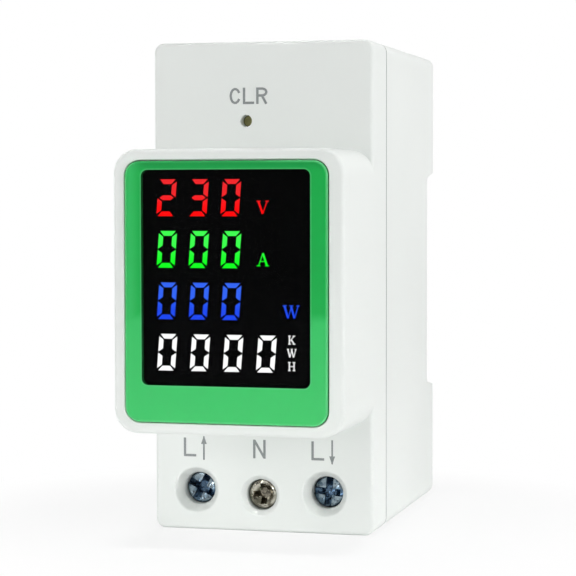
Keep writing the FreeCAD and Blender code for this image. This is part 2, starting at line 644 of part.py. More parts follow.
def latch_channel():
    """The upright channel below the rail recess that the latch slides in, with a groove each side."""
    half = LATCH_HALF_WIDTH + LATCH_CLEARANCE
    channel = block(-half, half, GRIP_DEPTH, HOUSING_DEPTH + OVERRUN, -OVERRUN, RECESS_BOTTOM + OVERRUN)
    reach = half + LATCH_FLANGE_REACH
    thick = LATCH_FLANGE_THICKNESS / 2 + LATCH_CLEARANCE
    groove = block(-reach, reach, LATCH_MIDDLE - thick, LATCH_MIDDLE + thick,
                   -OVERRUN, RECESS_BOTTOM + OVERRUN)
    return channel.fuse(groove)


def latch_peg():
    """The peg on the channel's floor that the latch spring stands on."""
    return block(-PEG_HALF_WIDTH, PEG_HALF_WIDTH, GRIP_DEPTH - WALL / 2, LATCH_REAR,
                 PEG_Z, PEG_Z + PEG_HEIGHT)


def rear_cavity():
    """The room inside the rear shell: the main space, the space above the rail, and two side pockets."""
    floor = RECESS_FLOOR_DEPTH - WALL
    main = block(-INNER_HALF, INNER_HALF, SEAM_DEPTH - OVERRUN, floor, WALL, HOUSING_HEIGHT - WALL)
    above = block(-INNER_HALF, INNER_HALF, floor - OVERRUN, HOUSING_DEPTH - WALL,
                  RECESS_TOP + RECESS_FLARE + 2 * WALL, HOUSING_HEIGHT - WALL)
    near = LATCH_HALF_WIDTH + LATCH_CLEARANCE + LATCH_FLANGE_REACH + WALL
    sides = [mirrored_block(side, near, INNER_HALF, floor - OVERRUN, HOUSING_DEPTH - WALL,
                            WALL, RECESS_BOTTOM - RECESS_FLARE - WALL) for side in (-1, 1)]
    return [main, above] + sides


def terminal_walls():
    """Walls between the terminals and behind them, standing on the bottom."""
    front = SEAM_DEPTH + PARTITION_SEAM_GAP
    rear = LINE_CAGE_REAR + POCKET_WALL_GAP
    walls = []
    for x in (TERMINAL_CENTRE_X - TERMINAL_STEP / 2, TERMINAL_CENTRE_X + TERMINAL_STEP / 2):
        walls.append(block(x - PARTITION_THICKNESS / 2, x + PARTITION_THICKNESS / 2, front, rear + WALL / 2,
                           WALL / 2, PARTITION_TOP))
    walls.append(block(-INNER_HALF - WALL / 2, INNER_HALF + WALL / 2, rear, rear + PARTITION_THICKNESS,
                       WALL / 2, PARTITION_TOP))
    return walls


def wire_entry(terminal):
    """The opening through the bottom that a wire goes up into its cage by."""
    half = terminal["bar_width"] / 2
    front = terminal["bar_rear"] + WIRE_ENTRY_MARGIN
    rear = terminal["bar_rear"] + terminal["wire_gap"] - WIRE_ENTRY_MARGIN
    hole = block(terminal["x"] - half, terminal["x"] + half, front, rear, -OVERRUN, WALL + OVERRUN)
    return hole.makeFillet(WIRE_ENTRY_CORNER, straight_edges(hole, FreeCAD.Vector(0, 0, 1)))


def rear_shell():
    """The rear moulding: box, wire entries, terminal walls, board ledges, rail seat and latch channel."""
    start = SEAM_DEPTH + SEAM_GAP
    body = rounded_plate(-HALF_WIDTH, HALF_WIDTH, start, HOUSING_DEPTH, 0, HOUSING_HEIGHT, EDGE_RADIUS)
    body = body.makeFillet(BACK_FILLET, edges_at_depth(body, HOUSING_DEPTH))
    lip = block(-HALF_WIDTH + SEAM_LIP_INSET, HALF_WIDTH - SEAM_LIP_INSET, SEAM_DEPTH, start + OVERRUN,
                SEAM_LIP_INSET, HOUSING_HEIGHT - SEAM_LIP_INSET)
    shell = body.fuse(lip).cut([rail_recess()]).fuse(rail_hook()).cut(rear_cavity())
    board_rear = POWER_BOARD_DEPTH + BOARD_THICKNESS
    added = terminal_walls()
    added += [post(x, z, board_rear, HOUSING_DEPTH - WALL / 2, "front") for x, z in power_posts()]
    for side in (-1, 1):
        added.append(mirrored_block(side, INNER_HALF - LEDGE_WIDTH, INNER_HALF + WALL / 2, board_rear,
                                    board_rear + LEDGE_THICKNESS, POWER_BOARD_BOTTOM,
                                    POWER_BOARD_BOTTOM + LEDGE_HEIGHT))
    shell = shell.fuse(added).cut(latch_channel()).fuse(latch_peg())
    cuts = [snap_pocket(side, z) for side, z in snap_places()]
    cuts += [wire_entry(terminal) for terminal in TERMINALS.values()]
    return shell.cut(cuts).removeSplitter()


def fascia():
    """The glossy coloured frame round the window, with a rebate behind for the window's flange."""
    half = FASCIA_WIDTH / 2
    plate = rounded_plate(FASCIA_OFFSET_X - half, FASCIA_OFFSET_X + half, FRONT_DEPTH, FASCIA_REAR,
                          FASCIA_BOTTOM, FASCIA_TOP, FASCIA_CORNER)
    plate = plate.makeFillet(FASCIA_EDGE_ROUND, edges_at_depth(plate, FRONT_DEPTH))
    return plate.cut([window_plate(WINDOW_CLEARANCE, OVERRUN), window_flange(WINDOW_CLEARANCE, OVERRUN)])


def window_plate(grow, past):
    half = WINDOW_WIDTH / 2 + grow
    return rounded_plate(FASCIA_OFFSET_X - half, FASCIA_OFFSET_X + half,
                         FRONT_DEPTH - past, FASCIA_REAR + past,
                         WINDOW_BOTTOM - grow, WINDOW_TOP + grow, WINDOW_CORNER + grow)


def window_flange(grow, past):
    half = WINDOW_WIDTH / 2 + WINDOW_FLANGE + grow
    return rounded_plate(FASCIA_OFFSET_X - half, FASCIA_OFFSET_X + half,
                         FASCIA_REAR - WINDOW_FLANGE_THICKNESS - grow, FASCIA_REAR + past,
                         WINDOW_BOTTOM - WINDOW_FLANGE - grow, WINDOW_TOP + WINDOW_FLANGE + grow,
                         WINDOW_CORNER + WINDOW_FLANGE + grow)


def display_window():
    """The smoked window, flush with the fascia, on a thin flange."""
    return fused([window_plate(0, 0), window_flange(0, 0)])


# Which of a digit's seven bars are lit, clockwise from the top, with the middle bar last
LIT_BARS = {
    "0": (1, 1, 1, 1, 1, 1, 0),
    "2": (1, 1, 0, 1, 1, 0, 1),
    "3": (1, 1, 1, 1, 0, 0, 1),
}


def bar_outlines():
    """The seven bars of one upright digit, centred on (0, 0), as lists of corners."""
    w, h, gap = DIGIT_WIDTH / 2, DIGIT_HEIGHT / 2, SEGMENT_GAP
    bar, stem = DIGIT_BAR, DIGIT_STEM
    top = [(-w + gap, h), (w - gap, h), (w - stem - gap / 2, h - bar), (-w + stem + gap / 2, h - bar)]
    upper_right = [(w, h - 1.75 * gap), (w, 0.45 * gap), (w - stem, bar / 2 + gap),
                   (w - stem, h - bar - 0.8 * gap)]
    tip, flat = w - 1.5 * gap, w - stem - gap / 2
    middle = [(-tip, 0), (-flat, bar / 2), (flat, bar / 2), (tip, 0), (flat, -bar / 2), (-flat, -bar / 2)]
    flip_z = [(x, -z) for x, z in upper_right]
    flip_x = [(-x, z) for x, z in upper_right]
    flip_both = [(-x, -z) for x, z in upper_right]
    bottom = [(x, -z) for x, z in top]
    return [top, upper_right, flip_z, bottom, flip_both, flip_x, middle]


def lit_depths(grow):
    return MODULE_FRONT - SEGMENT_PIPE_PROUD - grow, MODULE_FRONT + SEGMENT_PIPE_DEPTH


def digit(symbol, x, z, grow):
    """The lit bars of one slanted digit as light pipes set into the module's face."""
    lean = math.tan(math.radians(DIGIT_SLANT_DEG))
    depth0, depth1 = lit_depths(grow)
    solids = []
    for lit, outline in zip(LIT_BARS[symbol], bar_outlines()):
        if lit:
            corners = [(x + px + pz * lean, z + pz) for px, pz in outline]
            solids.append(front_prism(corners, depth0, depth1))
    return solids


# Letters as strokes in a cell one wide and one high: start, end and whether the stroke is thick
LETTER_STROKES = {
    "V": [((0.14, 0.97), (0.5, 0.03), 1), ((0.86, 0.97), (0.5, 0.03), 0), ((0.0, 0.96), (0.32, 0.96), 0),
          ((0.7, 0.96), (1.0, 0.96), 0)],
    "A": [((0.16, 0.03), (0.5, 0.97), 0), ((0.84, 0.03), (0.5, 0.97), 1), ((0.28, 0.36), (0.7, 0.36), 0),
          ((0.0, 0.04), (0.3, 0.04), 0), ((0.68, 0.04), (1.0, 0.04), 0)],
    "W": [((0.1, 0.97), (0.32, 0.03), 1), ((0.32, 0.03), (0.52, 0.9), 0), ((0.5, 0.9), (0.7, 0.03), 1),
          ((0.7, 0.03), (0.92, 0.97), 0), ((0.0, 0.96), (0.24, 0.96), 0), ((0.4, 0.96), (0.62, 0.96), 0),
          ((0.82, 0.96), (1.0, 0.96), 0)],
    "K": [((0.2, 0.03), (0.2, 0.97), 1), ((0.3, 0.4), (0.82, 0.95), 0), ((0.42, 0.56), (0.84, 0.05), 1),
          ((0.02, 0.96), (0.4, 0.96), 0), ((0.02, 0.04), (0.4, 0.04), 0), ((0.64, 0.96), (0.98, 0.96), 0),
          ((0.64, 0.04), (1.0, 0.04), 0)],
    "H": [((0.2, 0.03), (0.2, 0.97), 1), ((0.8, 0.03), (0.8, 0.97), 1), ((0.2, 0.5), (0.8, 0.5), 0),
          ((0.02, 0.96), (0.38, 0.96), 0), ((0.62, 0.96), (0.98, 0.96), 0), ((0.02, 0.04), (0.38, 0.04), 0),
          ((0.62, 0.04), (0.98, 0.04), 0)],
    "L": [((0.1, 0.0), (0.1, 1.0), 1), ((0.1, 0.06), (1.0, 0.06), 1)],
    "N": [((0.1, 0.0), (0.1, 1.0), 1), ((0.9, 0.0), (0.9, 1.0), 1), ((0.1, 0.97), (0.9, 0.03), 1)],
}


def stroke(start, end, width, depth0, depth1):
    """A straight stroke of ink or light between two points, with square ends."""
    dx, dz = end[0] - start[0], end[1] - start[1]
    length = math.hypot(dx, dz)
    nx, nz = -dz / length * width / 2, dx / length * width / 2
    corners = [(start[0] + nx, start[1] + nz), (end[0] + nx, end[1] + nz),
               (end[0] - nx, end[1] - nz), (start[0] - nx, start[1] - nz)]
    return front_prism(corners, depth0, depth1)


def letter(symbol, x, z, width, height, thick, thin, depth0, depth1):
    """One letter, its lower left corner at (x, z), as a single solid."""
    strokes = []
    for (x0, z0), (x1, z1), heavy in LETTER_STROKES[symbol]:
        line_width = thick if heavy else thin
        strokes.append(stroke((x + x0 * width, z + z0 * height), (x + x1 * width, z + z1 * height),
                              line_width, depth0, depth1))
    return fused(strokes)


def row_z(row):
    return TOP_ROW_Z - row * ROW_STEP


def unit_letter(symbol, x, z, width, grow):
    depth0, depth1 = lit_depths(grow)
    return letter(symbol, x, z, width, UNIT_HEIGHT, UNIT_THICK_STROKE, UNIT_THIN_STROKE, depth0, depth1)


def stacked_letter(symbol, z, grow):
    depth0, depth1 = lit_depths(grow)
    width = UNIT_STACK_WIDTHS[symbol]
    thick, thin = UNIT_STACK_STROKES
    return letter(symbol, UNIT_STACK_CENTRE_X - width / 2, z, width, UNIT_STACK_HEIGHT, thick, thin,
                  depth0, depth1)


def row_solids(row, grow):
    """The lit digits and unit letters of one row of the display."""
    digits = ("230", "000", "000", "0000")[row]
    pitch = ENERGY_DIGIT_PITCH if row == ROWS - 1 else DIGIT_PITCH
    z = row_z(row)
    solids = []
    for column, symbol in enumerate(digits):
        solids += digit(symbol, FIRST_DIGIT_X + column * pitch, z, grow)
    base = z - DIGIT_HEIGHT / 2 + UNIT_RISE
    if row == 0:
        solids.append(unit_letter("V", UNIT_NEAR_X, base, UNIT_WIDTH, grow))
    elif row == 1:
        solids.append(unit_letter("A", UNIT_NEAR_X, base, UNIT_WIDTH, grow))
    elif row == 2:
        solids.append(unit_letter("W", UNIT_FAR_X, base, UNIT_FAR_WIDTH, grow))
    else:
        for place, symbol in enumerate("HWK"):
            solids.append(stacked_letter(symbol, base + place * UNIT_STACK_STEP, grow))
    return solids


def display_module():
    """The black block of the light-emitting display, with a seat for every lit bar."""
    half = module_half_width()
    body = rounded_plate(FASCIA_OFFSET_X - half, FASCIA_OFFSET_X + half, MODULE_FRONT, DISPLAY_BOARD_DEPTH,
                         WINDOW_BOTTOM - MODULE_BORDER, WINDOW_TOP + MODULE_BORDER, MODULE_CORNER)
    seats = [solid for row in range(ROWS) for solid in row_solids(row, OVERRUN)]
    return body.cut(seats)


def module_pin_places():
    first = -(PIN_COUNT - 1) / 2 * LINK_STEP
    rows = (WINDOW_BOTTOM + MODULE_BORDER, WINDOW_TOP - MODULE_BORDER)
    return [(FASCIA_OFFSET_X + first + i * LINK_STEP, z) for i in range(PIN_COUNT) for z in rows]


def display_pins():
    """The display module's pins, soldered through the display board."""
    end = DISPLAY_BOARD_DEPTH + MODULE_PIN_LENGTH
    return Part.makeCompound([rod_back(x, z, DISPLAY_BOARD_DEPTH, end, MODULE_PIN_RADIUS)
                              for x, z in module_pin_places()])


def link_xs():
    first = -(LINK_PINS - 1) / 2 * LINK_STEP
    return [first + i * LINK_STEP for i in range(LINK_PINS)]


def link_runs():
    """Each row of link pins: height, first board's rear face, second board's front face, front stub."""
    return [(DISPLAY_LINK_Z, DISPLAY_BOARD_DEPTH + BOARD_THICKNESS, CONTROL_BOARD_DEPTH, 0),
            (POWER_LINK_Z, CONTROL_BOARD_DEPTH + BOARD_THICKNESS, POWER_BOARD_DEPTH, LINK_PIN_STUB)]


def link_pin(x, z, depth0, depth1, grow):
    half = LINK_PIN_SIDE / 2 + grow
    return block(x - half, x + half, depth0, depth1, z - half, z + half)


def link_pins():
    """Square pins that carry power and signals between the three boards."""
    pins = []
    for z, front, rear, stub in link_runs():
        start, end = front - BOARD_THICKNESS - stub, rear + BOARD_THICKNESS + LINK_PIN_STUB
        pins += [link_pin(x, z, start, end, 0) for x in link_xs()]
    return Part.makeCompound(pins)


def link_headers():
    """The black strips at both ends of each row of link pins."""
    strips = []
    half = LINK_PINS * LINK_STEP / 2
    for z, front, rear, _ in link_runs():
        for depth0, depth1 in ((front, front + LINK_HEADER_HEIGHT), (rear - LINK_HEADER_HEIGHT, rear)):
            strip = block(-half, half, depth0, depth1, z - LINK_STEP / 2, z + LINK_STEP / 2)
            holes = [link_pin(x, z, depth0 - OVERRUN, depth1 + OVERRUN, BOARD_HOLE_CLEARANCE / 2)
                     for x in link_xs()]
            strips.append(strip.cut(holes))
    return Part.makeCompound(strips)


def link_holes(z, depth):
    return [link_pin(x, z, depth - OVERRUN, depth + BOARD_THICKNESS + OVERRUN, BOARD_HOLE_CLEARANCE)
            for x in link_xs()]


def screw_holes(places, depth):
    radius = BOARD_SCREW_RADIUS + BOARD_SCREW_HOLE_CLEARANCE
    return [rod_back(x, z, depth - OVERRUN, depth + BOARD_THICKNESS + OVERRUN, radius) for x, z in places]


def display_board():
    """The board in the hood that carries the display module."""
    depth = DISPLAY_BOARD_DEPTH
    half = INNER_HALF - DISPLAY_BOARD_CLEARANCE
    board = rounded_plate(-half, half, depth, depth + BOARD_THICKNESS, DISPLAY_BOARD_BOTTOM,
                          DISPLAY_BOARD_TOP, HOOD_CORNER - WALL)
    radius = MODULE_PIN_RADIUS + BOARD_HOLE_CLEARANCE
    pins = [rod_back(x, z, depth - OVERRUN, depth + BOARD_THICKNESS + OVERRUN, radius)
            for x, z in module_pin_places()]
    return board.cut(pins + link_holes(DISPLAY_LINK_Z, depth) + screw_holes(display_posts(), depth))


def control_board():
    """The board behind the front face, with the reset switch and the metering chip."""
    depth = CONTROL_BOARD_DEPTH
    half = BOARD_HALF - SNAP_CLEARANCE
    board = block(-half, half, depth, depth + BOARD_THICKNESS, CONTROL_BOARD_BOTTOM, CONTROL_BOARD_TOP)
    holes = link_holes(DISPLAY_LINK_Z, depth) + link_holes(POWER_LINK_Z, depth)
    leads = [rod_back(x, z, depth - OVERRUN, depth + BOARD_THICKNESS + OVERRUN,
                      TRANSFORMER_LEAD_RADIUS + BOARD_HOLE_CLEARANCE) for x, z in transformer_lead_places()]
    return board.cut(holes + leads + screw_holes(control_posts(), depth))


def power_board():
    """The supply board across the back of the housing."""
    depth = POWER_BOARD_DEPTH
    board = block(-POWER_BOARD_HALF, POWER_BOARD_HALF, depth, depth + BOARD_THICKNESS,
                  POWER_BOARD_BOTTOM, POWER_BOARD_TOP)
    holes = link_holes(POWER_LINK_Z, depth) + screw_holes(power_posts(), depth)
    half = NEUTRAL_BAR_WIDTH / 2 + BOARD_HOLE_CLEARANCE
    holes.append(block(TERMINAL_CENTRE_X - half, TERMINAL_CENTRE_X + half, depth - OVERRUN,
                       depth + BOARD_THICKNESS + OVERRUN, NEUTRAL_TAB_LEVEL - BOARD_HOLE_CLEARANCE,
                       NEUTRAL_TAB_LEVEL + NEUTRAL_BAR_THICKNESS + BOARD_HOLE_CLEARANCE))
    tap = LINE_TAP_SIDE / 2 + BOARD_HOLE_CLEARANCE
    holes.append(block(LINE_IN_X - tap, LINE_IN_X + tap, depth - OVERRUN, depth + BOARD_THICKNESS + OVERRUN,
                       LINE_TAP_Z - tap, LINE_TAP_Z + tap))
    return board.cut(holes)


def board_screw(x, z, head_depth, direction):
    """A pan-head screw: the head stands against the board, and the shank goes along direction (1 or -1)."""
    head0, head1 = sorted((head_depth, head_depth - direction * BOARD_SCREW_HEAD_HEIGHT))
    tip = head_depth + direction * (BOARD_THICKNESS + BOARD_SCREW_GRIP - BOARD_HOLE_CLEARANCE)
    shank0, shank1 = sorted((head_depth, tip))
    head = rod_back(x, z, head0, head1, BOARD_SCREW_HEAD_RADIUS)
    shank = rod_back(x, z, shank0, shank1, BOARD_SCREW_RADIUS)
    face = head0 if direction > 0 else head1
    slot = BOARD_SCREW_HEAD_HEIGHT / 2
    cross = []
    for half_x, half_z in ((BOARD_SCREW_RADIUS, slot / 2), (slot / 2, BOARD_SCREW_RADIUS)):
        cross.append(block(x - half_x, x + half_x, face - slot, face + slot, z - half_z, z + half_z))
    return head.fuse(shank).cut(cross).removeSplitter()


def board_screws():
    """The screws that hold the three boards on their posts."""
    screws = [board_screw(x, z, DISPLAY_BOARD_DEPTH + BOARD_THICKNESS, -1) for x, z in display_posts()]
    screws += [board_screw(x, z, CONTROL_BOARD_DEPTH + BOARD_THICKNESS, -1) for x, z in control_posts()]
    screws += [board_screw(x, z, POWER_BOARD_DEPTH, 1) for x, z in power_posts()]
    return Part.makeCompound(screws)


def switch_front():
    return CONTROL_BOARD_DEPTH - SWITCH_HEIGHT


def reset_switch():
    """The push switch's body: a square base with a metal cover and a hole for the plunger."""
    half = SWITCH_SIDE / 2
    front = switch_front()
    body = block(RESET_X - half, RESET_X + half, front + SWITCH_COVER, CONTROL_BOARD_DEPTH,
                 RESET_Z - half, RESET_Z + half)
    cover_half = half - SWITCH_COVER
    cover = block(RESET_X - cover_half, RESET_X + cover_half, front, front + 2 * SWITCH_COVER,
                  RESET_Z - cover_half, RESET_Z + cover_half)
    legs = []
    for side_x in (-1, 1):
        for side_z in (-1, 1):
            x0, x1 = sorted((RESET_X + side_x * (half - SWITCH_COVER),
                             RESET_X + side_x * (half + SWITCH_LEG_WIDTH)))
            z = RESET_Z + side_z * half / 2
            legs.append(block(x0, x1, CONTROL_BOARD_DEPTH - SWITCH_COVER, CONTROL_BOARD_DEPTH,
                              z - SWITCH_LEG_WIDTH / 2, z + SWITCH_LEG_WIDTH / 2))
    body = fused([body, cover] + legs)
    room = PLUNGER_FLANGE_THICKNESS + PLUNGER_TRAVEL + PLUNGER_CLEARANCE
    well = rod_back(RESET_X, RESET_Z, front + SWITCH_COVER, front + SWITCH_COVER + room,
                    PLUNGER_FLANGE_RADIUS + PLUNGER_CLEARANCE)
    mouth = rod_back(RESET_X, RESET_Z, front - OVERRUN, front + 2 * SWITCH_COVER,
                     PLUNGER_RADIUS + PLUNGER_CLEARANCE)
    return body.cut([well, mouth])


def reset_plunger():
    """The switch's stem: its tip shows in the pin-hole, and its flange keeps it in the switch."""
    inner = switch_front() + SWITCH_COVER + PLUNGER_CLEARANCE / 2
    stem = rod_back(RESET_X, RESET_Z, PLUNGER_DEPTH, inner, PLUNGER_RADIUS)
    flange = rod_back(RESET_X, RESET_Z, inner, inner + PLUNGER_FLANGE_THICKNESS, PLUNGER_FLANGE_RADIUS)
    return fused([stem, flange])


def drive_arm(terminal, length, depth, floor, lean_deg):
    """One arm of the drive recess: as long as the head allows at its mouth, floor long at the bottom."""
    x, z, front = terminal["x"], terminal["z"], terminal["head_depth"]
    half = terminal["drive_width"] / 2
    outline = [(front - OVERRUN, z - length / 2), (front, z - length / 2), (front + depth, z - floor / 2),
               (front + depth, z + floor / 2), (front, z + length / 2), (front - OVERRUN, z + length / 2)]
    arm = side_prism(outline, x - half, x + half)
    arm.rotate(vector(x, 0, z), FreeCAD.Vector(0, 1, 0), lean_deg)
    return arm


def drive_cross(terminal, length, lean_deg):
    """Two arms at right angles that taper inwards."""
    floor = terminal["drive_width"] + 2 * DRIVE_TIP
    return [drive_arm(terminal, length, DRIVE_DEPTH, floor, lean_deg + turn) for turn in (0, 90)]


def terminal_screw(terminal, recesses):
    """A clamp screw: round-edged head with its drive recess, shank, and a flat tip against the bar."""
    x, z = terminal["x"], terminal["z"]
    front = terminal["head_depth"]
    rear = front + terminal["head_height"]
    head = rod_back(x, z, front, rear, terminal["head_radius"])
    head = head.makeFillet(HEAD_ROUND, edges_at_depth(head, front))
    shank = rod_back(x, z, rear, BAR_DEPTH - SCREW_TIP_GAP, terminal["thread_radius"])
    return fused([head, shank]).cut(recesses).removeSplitter()


def line_screw(terminal, lean_deg):
    """Combined cross and slot, wide enough to run out through the rim."""
    slot_length = 2 * LINE_HEAD_RADIUS + OVERRUN
    slot = drive_arm(terminal, slot_length, SLOT_DEPTH, slot_length, lean_deg + 90)
    return terminal_screw(terminal, drive_cross(terminal, LINE_CROSS_LENGTH, lean_deg) + [slot])


def neutral_screw(terminal):
    """A cross recess at the bottom of a shallow dish."""
    front = terminal["head_depth"]
    dish = cone_back(terminal["x"], terminal["z"], front, front + NEUTRAL_DISH_DEPTH, NEUTRAL_DISH_RADIUS,
                     NEUTRAL_DISH_FLOOR)
    return terminal_screw(terminal, drive_cross(terminal, NEUTRAL_CROSS_LENGTH, NEUTRAL_LEAN_DEG) + [dish])


def cage(terminal):
    """A lift cage: a thick threaded front wall, thin sides, and a rear wall that clamps the wire."""
    x, z = terminal["x"], terminal["z"]
    inner = terminal["bar_width"] / 2 + BAR_TO_CAGE
    outer = inner + CAGE_SIDE_WALL
    front_inner = BAR_DEPTH - CAGE_BAR_GAP
    rear_inner = terminal["bar_rear"] + terminal["wire_gap"]
    bottom = WALL + CAGE_FLOOR_GAP
    top = z + CAGE_HALF_HEIGHT
    body = block(x - outer, x + outer, front_inner - CAGE_FRONT_WALL, rear_inner + CAGE_REAR_WALL,
                 bottom, top)
    body = body.makeFillet(CAGE_EDGE_ROUND, straight_edges(body, FreeCAD.Vector(0, 0, 1)))
    hollow = block(x - inner, x + inner, front_inner, rear_inner, bottom - OVERRUN, top + OVERRUN)
    thread = rod_back(x, z, front_inner - CAGE_FRONT_WALL - OVERRUN, front_inner + OVERRUN,
                      terminal["thread_radius"] + THREAD_CLEARANCE)
    return body.cut([hollow, thread])


def line_bus_bar():
    """One flat copper stamping: two legs down into the line terminals and a bridge between them."""
    half = LINE_BAR_WIDTH / 2
    bottom = WALL + BAR_FLOOR_GAP
    top = TOROID_CENTRE_Z + half
    under = top - LINE_BAR_WIDTH
    outline = [(LINE_IN_X - half, bottom), (LINE_IN_X + half, bottom), (LINE_IN_X + half, under),
               (LINE_OUT_X - half, under), (LINE_OUT_X - half, bottom), (LINE_OUT_X + half, bottom),
               (LINE_OUT_X + half, top), (LINE_IN_X - half, top)]
    return front_prism(outline, BAR_DEPTH, LINE_BAR_REAR)


def neutral_tab():
    """A bent copper strip from the neutral terminal up and back to the supply board."""
    half = NEUTRAL_BAR_WIDTH / 2
    bottom = WALL + BAR_FLOOR_GAP
    top = NEUTRAL_TAB_LEVEL + NEUTRAL_BAR_THICKNESS
    end = POWER_BOARD_DEPTH + BOARD_THICKNESS + TAB_THROUGH_BOARD
    outline = [(BAR_DEPTH, bottom), (NEUTRAL_BAR_REAR, bottom), (NEUTRAL_BAR_REAR, NEUTRAL_TAB_LEVEL),
               (end, NEUTRAL_TAB_LEVEL), (end, top), (BAR_DEPTH, top)]
    return side_prism(outline, TERMINAL_CENTRE_X - half, TERMINAL_CENTRE_X + half)


def line_tap():
    """The square pin that takes the line voltage from the bar to the supply board."""
    half = LINE_TAP_SIDE / 2
    end = POWER_BOARD_DEPTH + BOARD_THICKNESS + TAB_THROUGH_BOARD
    return block(LINE_IN_X - half, LINE_IN_X + half, LINE_BAR_REAR, end, LINE_TAP_Z - half, LINE_TAP_Z + half)


def bar_middle_depth():
    return BAR_DEPTH + LINE_BAR_THICKNESS / 2


def current_transformer():
    """The potted ring round the line bar's bridge."""
    half = TOROID_LENGTH / 2
    x = TERMINAL_CENTRE_X
    ring = rod_across(x - half, x + half, bar_middle_depth(), TOROID_CENTRE_Z, TOROID_RADIUS)
    ring = ring.makeFillet(TOROID_EDGE_ROUND, [e for e in ring.Edges if e.Closed])
    return ring.cut(rod_across(x - half - OVERRUN, x + half + OVERRUN, bar_middle_depth(), TOROID_CENTRE_Z,
                               TOROID_BORE_RADIUS))


def bar_sleeve():
    """The insulating sleeve that centres the ring on the bar."""
    half = TOROID_LENGTH / 2 + SLEEVE_OVERHANG
    x = TERMINAL_CENTRE_X
    sleeve = rod_across(x - half, x + half, bar_middle_depth(), TOROID_CENTRE_Z,
                        TOROID_BORE_RADIUS - SLEEVE_CLEARANCE)
    grow = SLEEVE_CLEARANCE
    slot = block(x - half - OVERRUN, x + half + OVERRUN, BAR_DEPTH - grow, LINE_BAR_REAR + grow,
                 TOROID_CENTRE_Z - LINE_BAR_WIDTH / 2 - grow, TOROID_CENTRE_Z + LINE_BAR_WIDTH / 2 + grow)
    return sleeve.cut(slot)


def transformer_lead_places():
    half = TRANSFORMER_LEAD_SPACING / 2
    z = CONTROL_BOARD_BOTTOM + LEAD_STANDOFF + TRANSFORMER_LEAD_RADIUS
    return [(TERMINAL_CENTRE_X - half, z), (TERMINAL_CENTRE_X + half, z)]


def transformer_leads():
    """Two stiff leads from the ring's crown up and forward into the control board."""
    leads = []
    crown = TOROID_CENTRE_Z + TOROID_RADIUS
    depth = bar_middle_depth()
    for x, z in transformer_lead_places():
        riser = rod_up(x, depth, crown, z, TRANSFORMER_LEAD_RADIUS)
        corner = Part.makeSphere(TRANSFORMER_LEAD_RADIUS, vector(x, depth, z))
        run = rod_back(x, z, CONTROL_BOARD_DEPTH - TAB_THROUGH_BOARD, depth, TRANSFORMER_LEAD_RADIUS)
        leads.append(fused([riser, corner, run]))
    return Part.makeCompound(leads)


def can(place, radius, height):
    """An electrolytic capacitor standing off the supply board, with a beaded rim."""
    x, z = place
    base = POWER_BOARD_DEPTH
    top = base - height
    body = rod_back(x, z, top, base, radius)
    body = body.makeFillet(radius / 8, edges_at_depth(body, top))
    groove = radius / 8
    ring = Part.makeTorus(radius + groove / 2, groove, vector(x, base - radius / 2, z),
                          FreeCAD.Vector(0, 1, 0))
    return body.cut(ring)


def film_capacitor():
    """The boxed mains capacitor."""
    width, depth, height = FILM_CAPACITOR_SIZE
    x, z = FILM_CAPACITOR_PLACE
    body = block(x - width / 2, x + width / 2, POWER_BOARD_DEPTH - depth, POWER_BOARD_DEPTH,
                 z - height / 2, z + height / 2)
    return body.makeFillet(height / 12, straight_edges(body, FreeCAD.Vector(0, 1, 0)))


def standing_legs(places, height):
    return [rod_back(x, z, POWER_BOARD_DEPTH - height, POWER_BOARD_DEPTH, LEAD_RADIUS) for x, z in places]


def varistor():
    """The surge disc on its two legs."""
    x, z = VARISTOR_PLACE
    depth = POWER_BOARD_DEPTH - LEAD_STANDOFF - VARISTOR_RADIUS
    disc = rod_across(x - VARISTOR_THICKNESS / 2, x + VARISTOR_THICKNESS / 2, depth, z, VARISTOR_RADIUS)
    disc = disc.makeFillet(VARISTOR_THICKNESS / 3, [e for e in disc.Edges if e.Closed])
    spread = VARISTOR_RADIUS / 2
    legs = standing_legs([(x, z - spread), (x, z + spread)], LEAD_STANDOFF + VARISTOR_RADIUS / 2)
    return fused([disc] + legs)


def fuse_resistor():
    """The fusible resistor lying across the board on its two bent legs."""
    x, z = FUSE_RESISTOR_PLACE
    half = FUSE_RESISTOR_LENGTH / 2
    depth = POWER_BOARD_DEPTH - LEAD_STANDOFF - FUSE_RESISTOR_RADIUS
    body = rod_across(x - half, x + half, depth, z, FUSE_RESISTOR_RADIUS)
    body = body.makeFillet(FUSE_RESISTOR_RADIUS / 3, [e for e in body.Edges if e.Closed])
    reach = half + LEAD_STANDOFF
    wire = rod_across(x - reach, x + reach, depth, z, LEAD_RADIUS)
    legs = standing_legs([(x - reach, z), (x + reach, z)], LEAD_STANDOFF + FUSE_RESISTOR_RADIUS)
    bends = [Part.makeSphere(LEAD_RADIUS, vector(end, depth, z)) for end in (x - reach, x + reach)]
    return fused([body, wire] + legs + bends)


def inductor():
    """The drum-core choke: two flanges on a waist."""
    x, z = INDUCTOR_PLACE
    base = POWER_BOARD_DEPTH
    flange = INDUCTOR_HEIGHT / 6
    lower = rod_back(x, z, base - flange, base, INDUCTOR_RADIUS)
    upper = rod_back(x, z, base - INDUCTOR_HEIGHT, base - INDUCTOR_HEIGHT + flange, INDUCTOR_RADIUS)
    waist = rod_back(x, z, base - INDUCTOR_HEIGHT, base, INDUCTOR_RADIUS * 0.85)
    return fused([lower, upper, waist])


